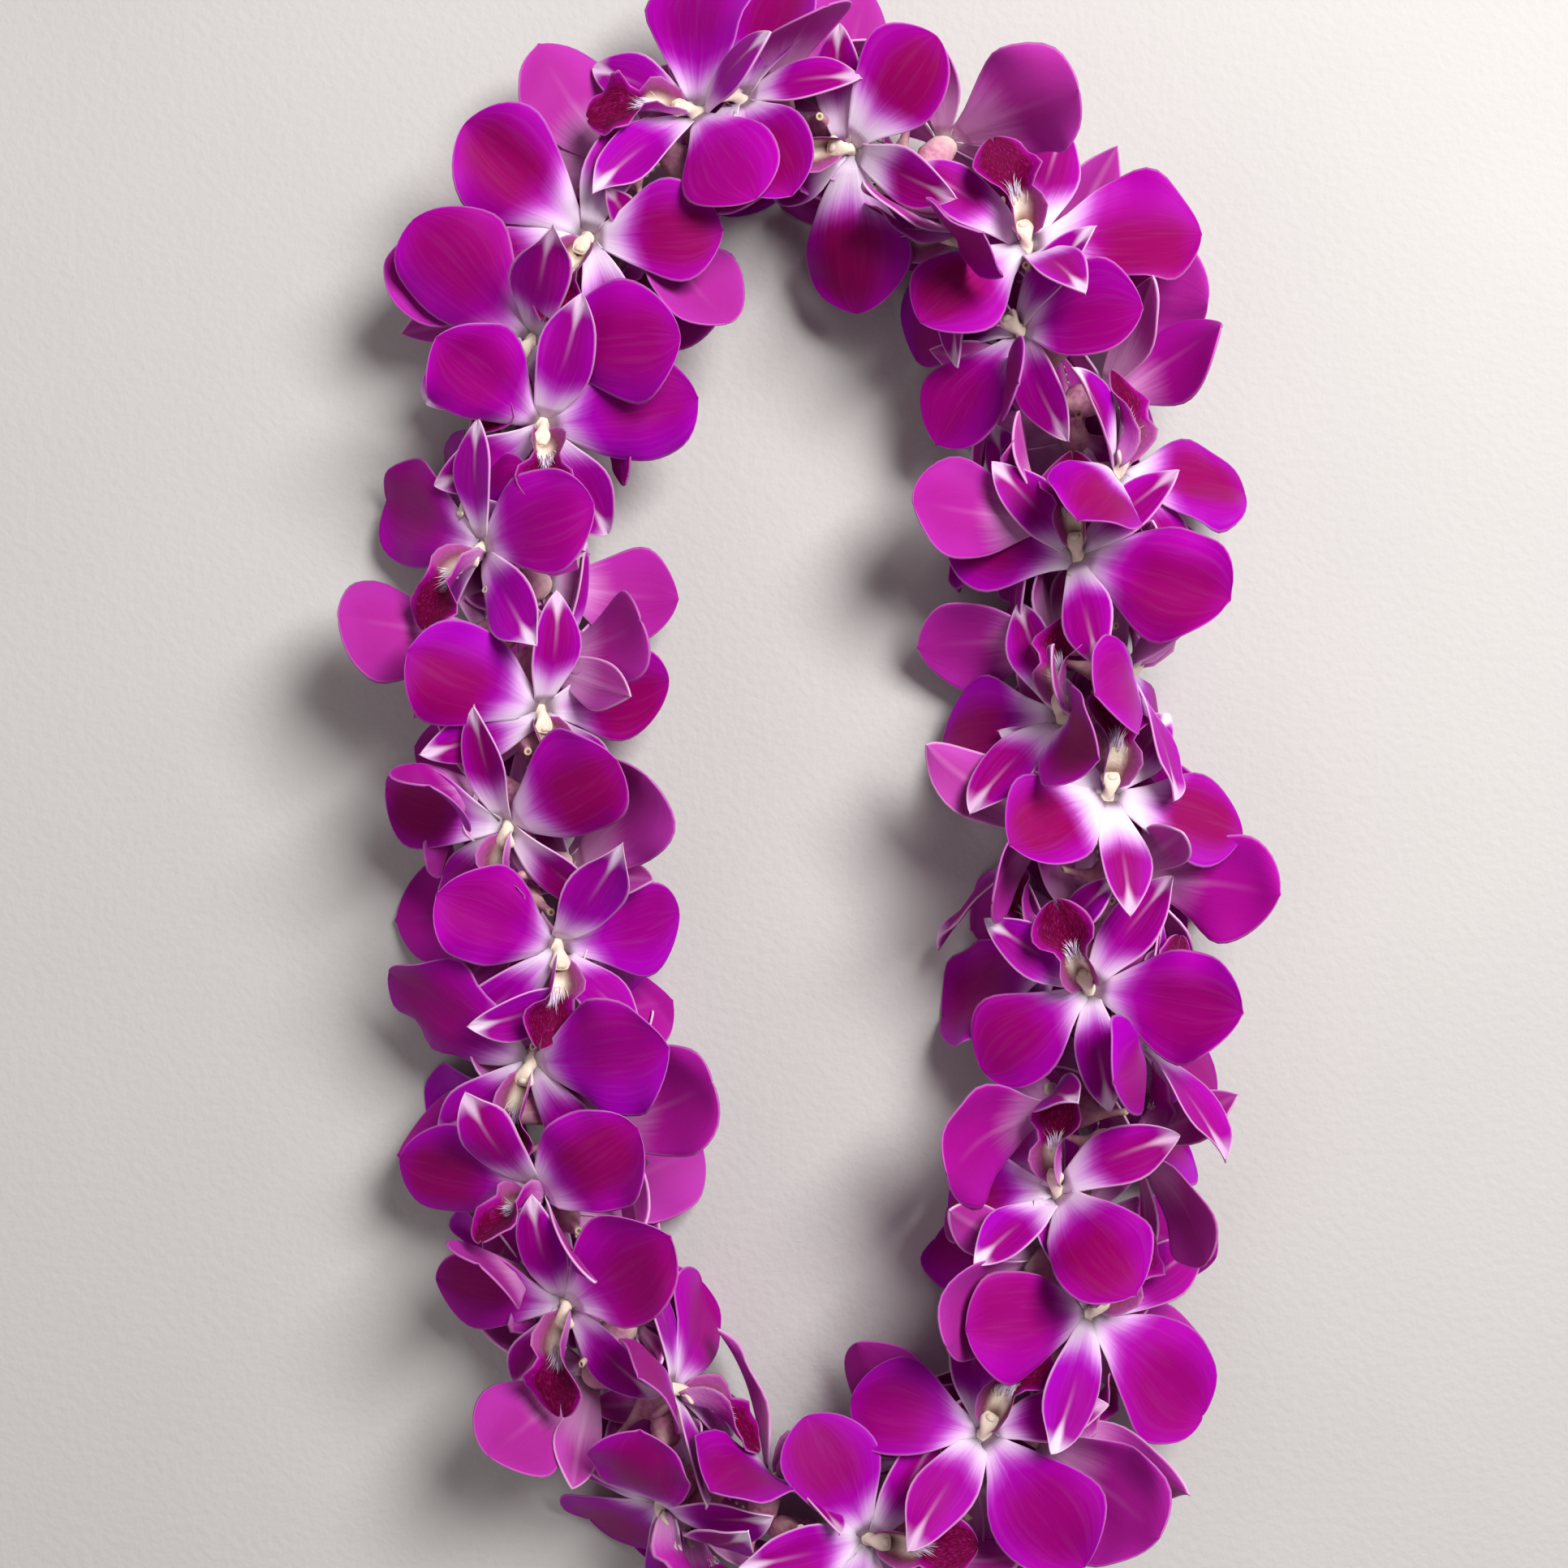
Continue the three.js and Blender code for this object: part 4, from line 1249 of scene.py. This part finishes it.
# hollow, hollow_side and hollow_shade place and set the painted shade in the throat's hollow under the column
THROAT = {
    "end": (0.36, 0.46), "veins": 0.08, "lobes": (0.30, 0.70), "lobes_share": 0.92,
    "hollow": (0.14, 0.26), "hollow_side": (0.3, 0.8), "hollow_shade": 0.8,
}
BACK = {
    "coloured": (0.16, 0.60), "middle": 0.12, "veins": 0.16, "own": 0.10,
    "magenta": 0.55, "own_magenta": 0.45, "sepal": 0.35, "core": 0.30,
    "rib_width": 0.0014, "rib": 0.14, "rib_sepal": 0.10, "rib_fade": 0.16,
}
# the pale margin: partly the blade's own paler edge, partly a painted rim highlight
PALE_EDGE_AND_RIM_HIGHLIGHT = {"width": 0.0008, "light": 0.26, "sepal": 0.40}
GRAIN = {"scale": 2600.0, "lip_scale": 900.0}
RELIEF = {"veins": 0.3, "grain": 0.12, "lip": 0.8, "depth": 0.0005}
SATIN = {"rough": 0.50, "rougher": 0.08, "lip": 0.14}
PETAL_SHEEN = {
    "Subsurface Weight": 0.20, "Subsurface Scale": 0.002, "Subsurface Radius": (1.0, 0.35, 0.8),
    "Specular IOR Level": 0.14, "Specular Tint": SHEEN_TINT,
    "Sheen Weight": 0.03, "Sheen Roughness": 0.4, "Sheen Tint": SHEEN_TINT,
}


# %% What the skin knows about a spot
def streaks(tree, spot, look):
    """Noise that is stretched along a blade, and differs from blade to blade."""
    vector = {"X": spot.u * look["across"], "Y": spot.t * look["along"], "Z": spot.tone * BLADE_SHIFT}
    stretched = tree.node("ShaderNodeCombineXYZ", {}, vector)
    return noise(tree, stretched, look["scale"], detail=2.0)


def core_share(spot):
    """How deep a spot lies in the core, which is shifted to a side of the middle that differs."""
    off_core = (spot.u + spot.tone * CORE["shift"] - CORE["shift"] / 2).abs()
    ending = 1 - spot.t.step(*CORE["to"]) * CORE["paler"]
    return (1 - off_core.step(*CORE["across"])) * spot.t.step(*CORE["from"]) * ending


def spot_on_blade(tree):
    names = ("t", "u", "edge", "rib", "kind", "tone", "bloom_tone", "over")
    spot = SimpleNamespace(**{name: attribute(tree, name) for name in names})
    spot.place = tree.node("ShaderNodeTexCoord").of("Object")
    spot.sepal = spot.kind.bump(KINDS["sepal"], KIND_REACH)
    spot.lip = spot.kind.bump(KINDS["lip"], KIND_REACH)
    spot.from_middle = spot.u.abs()
    spot.veins = streaks(tree, spot, VEINS)
    spot.vein_shift = NOISE_MIDDLE - spot.veins
    spot.core = core_share(spot)
    return spot


# %% Colours of a blade's front
def coloured_blade(tree, spot):
    """Magenta to violet, with a berry-coloured core and faint light veins."""
    clouds = noise(tree, spot.place, VIOLETS["scale"], detail=2.0)
    colour = mix(tree, spot.tone * VIOLETS["own"] + clouds * VIOLETS["clouds"], MAGENTA, VIOLET)
    depth = CORE["least"] + spot.bloom_tone * CORE["bloom"] - spot.sepal * CORE["sepal"]
    colour = mix(tree, spot.core * depth, colour, BERRY)
    return mix(tree, (spot.veins - NOISE_MIDDLE) * VEINS["light"], colour, PALE_PINK)


def white_root(tree, spot, colour):
    """White at the root, which fades through lavender and runs out along the veins, far in a few blooms."""
    end = ROOT["white"] + spot.bloom_tone ** ROOT["rarity"] * ROOT["bloom"] + spot.sepal * ROOT["sepal"]
    faded = spot.t + spot.vein_shift * ROOT["veins"] - spot.from_middle * ROOT["middle"] - end
    colour = mix(tree, (1 - faded.step(*ROOT["lavender"])) * ROOT["lavender_share"], colour, LAVENDER)
    return mix(tree, 1 - faded.step(*ROOT["pure"]), colour, WHITE)


def sepal_tip(tree, spot, colour):
    """A sepal's white tip, and the light line that runs down from it."""
    point = spot.t + spot.rib.bump(0.0, TIP["point_width"]) * TIP["point"]
    white = point.step(*TIP["white"]) * spot.sepal
    colour = mix(tree, white * (TIP["least"] + spot.tone * TIP["own"]), colour, WHITE)
    line = spot.rib.bump(0.0, LINE["width"]) * spot.sepal * LINE["light"] * spot.t.step(*LINE["from"])
    return mix(tree, line, colour, PALE_PINK)


# %% Colours of the lip and of a blade's back
def lip_front(tree, spot):
    """Cream throat with painted shade in its hollow between magenta side lobes; a velvety wine lobe in front.
    """
    tufts = streaks(tree, spot, TUFTS)
    velvet = mix(tree, (tufts - VELVET["wine"]) * VELVET["wine_contrast"], DARK_WINE, WINE)
    velvet = mix(tree, (tufts - VELVET["orchid"]) * VELVET["orchid_contrast"], velvet, ORCHID)
    velvet = mix(tree, spot.from_middle.step(*VELVET["margin"]) * VELVET["magenta"], velvet, MAGENTA)
    # painted shade: the throat is darkened towards olive where it hollows under the column
    hollow = (1 - spot.t.step(*THROAT["hollow"])) * (1 - spot.from_middle.step(*THROAT["hollow_side"]))
    throat = mix(tree, hollow * THROAT["hollow_shade"], CREAM, PAINTED_SHADE_OLIVE)
    outside = (spot.t + spot.vein_shift * THROAT["veins"]).step(*THROAT["end"])
    outside = outside + (1 - outside) * spot.from_middle.step(*THROAT["lobes"]) * THROAT["lobes_share"]
    return mix(tree, outside, throat, velvet)


def back(tree, spot):
    """Rose at the root, then lilac to magenta, with a trace of the core and a faint pale rib."""
    share = BACK["magenta"] + spot.tone * BACK["own_magenta"] - spot.sepal * BACK["sepal"]
    colour = mix(tree, share, LILAC, MAGENTA)
    colour = mix(tree, spot.core * BACK["core"], colour, BERRY)
    far_out = spot.t + spot.from_middle * BACK["middle"] + spot.vein_shift * BACK["veins"]
    far_out = far_out + (spot.tone - spot.sepal) * BACK["own"]
    colour = mix(tree, far_out.step(*BACK["coloured"]), ROSE, colour)
    pale = BACK["rib"] + spot.sepal * BACK["rib_sepal"] - spot.t * BACK["rib_fade"]
    return mix(tree, spot.rib.bump(0.0, BACK["rib_width"]) * pale, colour, PALE_PINK)


# %% The petal skin
def petal_skin():
    material, tree = new_material("petal_skin")
    spot = spot_on_blade(tree)
    front = sepal_tip(tree, spot, white_root(tree, spot, coloured_blade(tree, spot)))
    front = mix(tree, spot.lip, front, lip_front(tree, spot))
    colour = mix(tree, (0.0 - spot.over).step(0.0, 1.0), front, back(tree, spot))
    # a pale margin, partly the blade's own paler edge and partly a painted rim highlight
    margin = (1 - spot.edge.step(0.0, PALE_EDGE_AND_RIM_HIGHLIGHT["width"])) * (PALE_EDGE_AND_RIM_HIGHLIGHT["light"] + spot.sepal * PALE_EDGE_AND_RIM_HIGHLIGHT["sepal"])
    colour = mix(tree, margin, colour, PALE_PINK)
    skin = {"Base Color": colour, "Roughness": roughness(SATIN, spot.veins) + spot.lip * SATIN["lip"]}
    grain = noise(tree, spot.place, GRAIN["scale"], detail=1.0)
    velvet = spot.lip * noise(tree, spot.place, GRAIN["lip_scale"], detail=2.0)
    height = spot.veins * RELIEF["veins"] + grain * RELIEF["grain"] + velvet * RELIEF["lip"]
    finish_material(tree, PETAL_SHEEN | skin, height, RELIEF["depth"])
    return material


petal_material = petal_skin()
print("petal skin:", len(petal_material.node_tree.nodes), "nodes")

# %% [markdown]
# ## The brush on the lip
#
# The hairs on the lip are cream where they root and white at their ends. They have a material of their own,
# duller and fuzzier than the petals'.

# %% The brush's hairs
HAIR = {"white": (0.30, 0.42), "scale": 3000.0, "relief": 0.0001}


def hair_skin():
    material, tree = new_material("brush_hair")
    place = tree.node("ShaderNodeTexCoord").of("Object")
    colour = mix(tree, attribute(tree, "t").step(*HAIR["white"]), CREAM, WHITE)
    skin = {"Base Color": colour, "Roughness": 0.7, "Specular IOR Level": 0.3, "Sheen Weight": 0.5}
    finish_material(tree, skin, noise(tree, place, HAIR["scale"], detail=1.0), HAIR["relief"])
    return material


hair_material = hair_skin()
print("brush hair:", len(hair_material.node_tree.nodes), "nodes")

# %% [markdown]
# ## Heart skin
#
# The column and its cap are waxy and cream. The chin, the ovary and the stalk blush to a dusty rose. The
# stalk turns the colour of green straw towards its cut end, and the pit in the cut is brown, darkened
# further by painted shade. The stigma's hollow under the column gets painted shade, an olive darkening.
# The heart's rings already say where each of these is, so the material only has to mix the colours and
# break them up a little.

# %% The heart skin
WAX = {
    "scale": 700.0, "blush": 0.45, "green": 0.5, "patchy_green": 0.5, "shade": 0.85, "pit": (0.3, 0.8),
    "rough": 0.40, "rougher": 0.15, "relief": 0.0004,
}
WAX_SHEEN = {
    "Subsurface Weight": 0.15, "Subsurface Scale": 0.002, "Subsurface Radius": (1.0, 0.8, 0.5),
    "Specular IOR Level": 0.28,
}


def heart_skin():
    material, tree = new_material("heart_skin")
    green, blush, shade = (attribute(tree, name) for name in ("green", "blush", "shade"))
    place = tree.node("ShaderNodeTexCoord").of("Object")
    patches = noise(tree, place, WAX["scale"], detail=3.0)
    colour = mix(tree, blush * (WAX["blush"] + patches), CREAM, DUSTY_ROSE)
    colour = mix(tree, green * (WAX["green"] + patches * WAX["patchy_green"]), colour, GREEN)
    # painted shade: the stigma's hollow under the column and the pit of the cut end are darkened towards
    # olive
    colour = mix(tree, shade * WAX["shade"], colour, PAINTED_SHADE_OLIVE)
    colour = mix(tree, (shade * green).step(*WAX["pit"]), colour, BROWN)
    skin = {"Base Color": colour, "Roughness": roughness(WAX, patches)}
    finish_material(tree, WAX_SHEEN | skin, patches, WAX["relief"])
    return material


heart_material = heart_skin()
print("heart skin:", len(heart_material.node_tree.nodes), "nodes")

# %% [markdown]
# ## Grow the blooms
#
# Each pair gets its cloud of points and a Geometry Nodes modifier with the tree. A modifier knows its
# inputs by their identifiers, so these are looked up by name first. The evaluated object's geometry is then
# taken as a plain mesh, which needs no modifier and no templates any more.

# %% Grow every pair
CLAW = 0.0022  # half the width of a blade's root, where it joins the heart
TUCK = 0.0019  # how far the root reaches in under the column
KEEL = 0.00035  # the depth of the groove along a blade's middle


def set_inputs(modifier, values):
    identifiers = {
        item.name: item.identifier
        for item in modifier.node_group.interface.items_tree
        if item.item_type == "SOCKET" and item.in_out == "INPUT"
    }
    for name, value in values.items():
        modifier[identifiers[name]] = value


def plain_mesh(carrier, group, values):
    """The mesh that a tree makes of an object, with every modifier gone."""
    modifier = carrier.modifiers.new(group.name, "NODES")
    modifier.node_group = group
    set_inputs(modifier, values)
    bpy.context.scene.collection.objects.link(carrier)
    depsgraph = bpy.context.evaluated_depsgraph_get()
    mesh = bpy.data.meshes.new_from_object(
        carrier.evaluated_get(depsgraph), preserve_all_data_layers=True, depsgraph=depsgraph
    )
    bpy.data.objects.remove(carrier)
    return mesh


def grow_mesh(pair):
    name = f"orchid_pair_{pair + 1:02d}"
    carrier = bpy.data.objects.new(name + "_points", points_mesh(name + "_points", points_of(pair)))
    return plain_mesh(carrier, blooming, {
        "Leaf": leaf, "Hair": hair, "Heart": heart, "Claw": CLAW, "Tuck": TUCK, "Keel": KEEL,
        "Petal skin": petal_material, "Hair skin": hair_material, "Heart skin": heart_material,
    })


pair_meshes = [grow_mesh(pair) for pair in range(BLOOM_COUNT // 2)]
print(len(pair_meshes), "pairs grown")

# %% [markdown]
# ## Let the blades make room for each other
#
# Waves, curls and the extra size can push a blade through its neighbour. A real petal gives way instead. So
# the skins are tested against each other with a BVH tree, a sorted box of boxes that finds crossing faces
# fast. Of two blades that cross, the one that is cut nearer its tip is shaped less freely and grown again.
# The rounds clear about half of the crossings, and the last one hardly any. In three out of four of those
# that stay, one of the two blades is cut in the half nearer its root.

# %% The skins of the blades
def numbers_of(mesh, name):
    values = np.empty(len(mesh.vertices), np.float32)
    mesh.attributes[name].data.foreach_get("value", values)
    return values


def blades_in(mesh):
    """Each blade's own corners, faces, and how far along the blade each face lies."""
    owner, along = numbers_of(mesh, "blade"), numbers_of(mesh, "t")
    found = {}
    for polygon in mesh.polygons:
        name = int(owner[polygon.vertices[0]])
        if name >= 0:
            found.setdefault(name, []).append(tuple(polygon.vertices))
    for blade, faces in found.items():
        low, high = min(map(min, faces)), max(map(max, faces))
        corners = [mesh.vertices[index].co.copy() for index in range(low, high + 1)]
        local = [tuple(index - low for index in face) for face in faces]
        tree = bvhtree.BVHTree.FromPolygons(corners, local)
        spots = np.array(corners)
        yield blade, {
            "tree": tree, "along": [along[face[0]] for face in faces],
            "low": spots.min(0), "high": spots.max(0),
        }


print(len(dict(blades_in(pair_meshes[0]))), "blades in the first pair")

# %% Find the blades that cross
ROOT_ZONE = 0.35  # the blades of one bloom join at their roots
TIP_LEAD = 0.15  # blades that are cut about equally near their tips both give way


def cut_places(one, other, same_bloom):
    """How far along two blades they cross, or nothing where they don't."""
    cuts = [(one["along"][a], other["along"][b]) for a, b in one["tree"].overlap(other["tree"])]
    cuts = [cut for cut in cuts if not same_bloom or max(cut) > ROOT_ZONE]
    return np.mean(cuts, axis=0) if cuts else None


def crossing(blades):
    """The blades that should give way, each the one of two that is cut nearer its tip."""
    names = sorted(blades)
    low, high = (np.array([blades[name][key] for name in names]) for key in ("low", "high"))
    pairs_crossing, yielding = 0, set()
    for place, name in enumerate(names):
        near = np.all((low[place] < high) & (low < high[place]), axis=1)
        for other_place in np.flatnonzero(near[place + 1:]) + place + 1:
            other = names[other_place]
            cut = cut_places(blades[name], blades[other], name // len(BLADES) == other // len(BLADES))
            if cut is None:
                continue
            pairs_crossing += 1
            if cut[0] > cut[1] - TIP_LEAD:
                yielding.add(name)
            if cut[1] > cut[0] - TIP_LEAD:
                yielding.add(other)
    return pairs_crossing, yielding


# %% Give way
ROUNDS = 5
EASE_STEP = 0.25
blades = {}
regrown = range(len(pair_meshes))
for turn in range(ROUNDS):
    for pair in regrown:
        blades.update(blades_in(pair_meshes[pair]))
    count, yielding = crossing(blades)
    print("round", turn + 1, "-", count, "crossings,", len(yielding), "blades give way")
    for name in yielding:
        bloom = blooms[name // len(BLADES)]
        index = name % len(BLADES)
        bloom["ease"][index] = max(0.0, bloom["ease"][index] - EASE_STEP)
    regrown = sorted({blooms[name // len(BLADES)]["pair"] for name in yielding})
    for pair in regrown:
        bpy.data.meshes.remove(pair_meshes[pair])
        pair_meshes[pair] = grow_mesh(pair)

# %% [markdown]
# ## Hand the blooms over
#
# Each mesh becomes a piece that rides on the lei's one body and takes the place of its plain node. The
# numbers that only the formula used are dropped from it. Those that the materials read stay.

# %% Make the pieces
KEPT = ("t", "u", "edge", "rib", "kind", "tone", "bloom_tone", "over", "green", "blush", "shade")
DROPPED = set(NUMBERS + VECTORS) - set(KEPT)


def add_piece(name, mesh, node):
    mesh.name = name
    piece = bpy.data.objects.new(name, mesh)
    bpy.context.scene.collection.objects.link(piece)
    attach(piece, "root")
    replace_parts(piece, node)
    return piece


def add_pair(pair, mesh):
    for name in [one.name for one in mesh.attributes if one.name in DROPPED]:
        mesh.attributes.remove(mesh.attributes[name])
    return add_piece(f"orchid_pair_{pair + 1:02d}", mesh, f"blooms_{pair + 1:02d}")


pairs = [add_pair(pair, mesh) for pair, mesh in enumerate(pair_meshes)]
triangles = sum(len(polygon.vertices) - 2 for piece in pairs for polygon in piece.data.polygons)
print(len(pairs), "pieces,", triangles, "triangles")

# %% Compare with the construction model
def overshoot(piece, node):
    """How far a piece reaches past its node's box, in millimetres."""
    low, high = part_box(node)
    corners = np.array([vertex.co for vertex in piece.data.vertices])
    past = max(max(low - Vector(corners.min(0))), max(Vector(corners.max(0)) - high))
    return past / MM


past, furthest = max((overshoot(piece, piece["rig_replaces"][0]), piece.name) for piece in pairs)
print(f"{furthest} reaches furthest past its node: {past:.1f} mm")

# %% [markdown]
# ## The thread
#
# The thread is cotton of two plies twisted together. Its route is the same curve again, less the little
# that the knot takes up. Geometry Nodes lay it: the route's points become a curve, the curve is tilted more
# and more along its length, and a profile of two circles side by side is swept along it, so that the
# circles wind round each other. The knot is a trefoil, the shape of a plain overhand knot, and its two cut
# tails bend outwards.

# %% Lines of the thread and the knot
THREAD_STEPS = 420
# in millimetres: a tail bends towards its first point and ends at its second, each along, outwards and down
KNOT = {"core": 1.5, "size": 0.62, "steps": 48}
KNOT_TAILS = [[(1.5, 2, 0), (3, 7, 3)], [(-1.5, 2, 0.5), (-3.5, 6, 5)]]
TAIL_STEPS = 10
knot_place, knot_along = route.at(0), route.along(0)
knot_outward = np.cross(UP, knot_along)


def strand():
    trim = KNOT["core"] / 2 / route.length
    return [route.at(trim + (1 - 2 * trim) * step / THREAD_STEPS) for step in range(THREAD_STEPS + 1)]


def trefoil():
    points = []
    for step in range(KNOT["steps"]):
        angle = TURN * step / KNOT["steps"]
        aside = math.sin(angle) + 2 * math.sin(2 * angle)
        above = math.cos(angle) - 2 * math.cos(2 * angle)
        along = -math.sin(3 * angle)
        offset = aside * knot_outward + above * UP + along * knot_along
        points.append(knot_place + KNOT["size"] * offset)
    return points + points[:1]


def tail(bends):
    start = knot_place
    middle, end = (knot_place + a * knot_along + o * knot_outward - d * UP for a, o, d in bends)
    shares = [step / TAIL_STEPS for step in range(TAIL_STEPS + 1)]
    return [(1 - t) ** 2 * start + 2 * t * (1 - t) * middle + t * t * end for t in shares]


def thread_lines():
    corners, edges = [], []
    for line in (strand(), trefoil(), *map(tail, KNOT_TAILS)):
        first = len(corners)
        corners += [tuple(point * MM) for point in line]
        edges += [(index, index + 1) for index in range(first, len(corners) - 1)]
    mesh = bpy.data.meshes.new("thread_lines")
    mesh.from_pydata(corners, edges, [])
    return mesh


cord_lines = thread_lines()
print("the thread, its knot and its tails are drawn with", len(cord_lines.edges), "short lines")


# %% The tree that twists it
CORD_INPUTS = {
    "Ply radius": "Float", "Apart": "Float", "Sides": "Int", "Turns per metre": "Float", "Cotton": "Material",
}


def twisting_tree():
    group, tree, given = group_with_inputs("twisted_cord", CORD_INPUTS)
    curve = tree.node("GeometryNodeMeshToCurve", {}, {"Mesh": given})
    passed = tree.node("GeometryNodeSplineParameter").of("Length")
    tilt = passed * given.of("Turns per metre") * TURN
    curve = tree.node("GeometryNodeSetCurveTilt", {}, {"Curve": curve, "Tilt": tilt})
    round_ply = {"Resolution": given.of("Sides"), "Radius": given.of("Ply radius")}
    ring = tree.node("GeometryNodeCurvePrimitiveCircle", {}, round_ply)
    plies = []
    for side in (-1, 1):
        offset = tree.node("ShaderNodeCombineXYZ", {}, {"X": given.of("Apart") * side})
        plies.append(tree.node("GeometryNodeTransform", {}, {"Geometry": ring, "Translation": offset}))
    profile = tree.node("GeometryNodeJoinGeometry", {}, {"Geometry": plies})
    swept = {"Curve": curve, "Profile Curve": profile, "Fill Caps": True}
    cord = tree.node("GeometryNodeCurveToMesh", {}, swept)
    cord = tree.node("GeometryNodeRealizeInstances", {}, {"Geometry": cord})
    cord = tree.node("GeometryNodeSetShadeSmooth", {}, {"Geometry": cord})
    cord = tree.node("GeometryNodeSetMaterial", {}, {"Geometry": cord, "Material": given.of("Cotton")})
    tree.node("NodeGroupOutput", {}, {"Geometry": cord})
    return group


twisting = twisting_tree()
print("the tree that twists the cord has", len(twisting.nodes), "nodes")

# %% Cotton
COTTON = linear(244, 238, 226)
COTTON_SHADE = linear(206, 196, 176)
FIBRE = {"scale": 3000.0, "rough": 0.85, "rougher": 0.1, "relief": 0.0002}


def cotton():
    material, tree = new_material("cotton")
    place = tree.node("ShaderNodeTexCoord").of("Object")
    fibres = noise(tree, place, FIBRE["scale"], detail=4.0)
    colour = mix(tree, fibres, COTTON_SHADE, COTTON)
    skin = {"Base Color": colour, "Roughness": roughness(FIBRE, fibres), "Sheen Weight": 0.3}
    finish_material(tree, skin, fibres, FIBRE["relief"])
    return material


cotton_material = cotton()
print("cotton:", len(cotton_material.node_tree.nodes), "nodes")

# %% Lay the thread
CORD = {"Ply radius": 0.00027, "Apart": 0.00024, "Sides": 8, "Turns per metre": 260.0}
carrier = bpy.data.objects.new("thread_lines", cord_lines)
thread_mesh = plain_mesh(carrier, twisting, CORD | {"Cotton": cotton_material})
thread = add_piece("cotton_thread", thread_mesh, "thread")
print("thread:", len(thread.data.polygons), "faces,", f"{overshoot(thread, 'thread'):.2f} mm past its node")

# %% [markdown]
# ## The floor
#
# The floor is plain and pale, so that the lei's colours and the shade under its petals show. It belongs to
# the stage and not to the lei. It reaches so far that in low views its edge is nearly the horizon.

# %% Floor
FLOOR_SIDE = 20.0
FLOOR_DROP = 0.0002  # just under the lowest petals, which lie flat at zero
PLASTER = linear(206, 205, 202)
PLASTER_SHADE = linear(196, 195, 193)
CHALK = {"scale": 9.0, "grain": 420.0, "rough": 0.8, "rougher": 0.1, "relief": 0.0004}


def plaster():
    material, tree = new_material("plaster")
    place = tree.node("ShaderNodeTexCoord").of("Object")
    clouds = noise(tree, place, CHALK["scale"], detail=5.0)
    skin = {"Base Color": mix(tree, clouds, PLASTER_SHADE, PLASTER), "Roughness": roughness(CHALK, clouds)}
    finish_material(tree, skin, noise(tree, place, CHALK["grain"], detail=4.0), CHALK["relief"])
    return material


def make_floor():
    half = FLOOR_SIDE / 2
    mesh = bpy.data.meshes.new("floor")
    corners = [(x * half, y * half, -FLOOR_DROP) for x, y in ((-1, -1), (1, -1), (1, 1), (-1, 1))]
    mesh.from_pydata(corners, [], [(0, 1, 2, 3)])
    mesh.materials.append(plaster())
    floor = bpy.data.objects.new("floor", mesh)
    bpy.context.scene.collection.objects.link(floor)


make_floor()
print("floor laid")
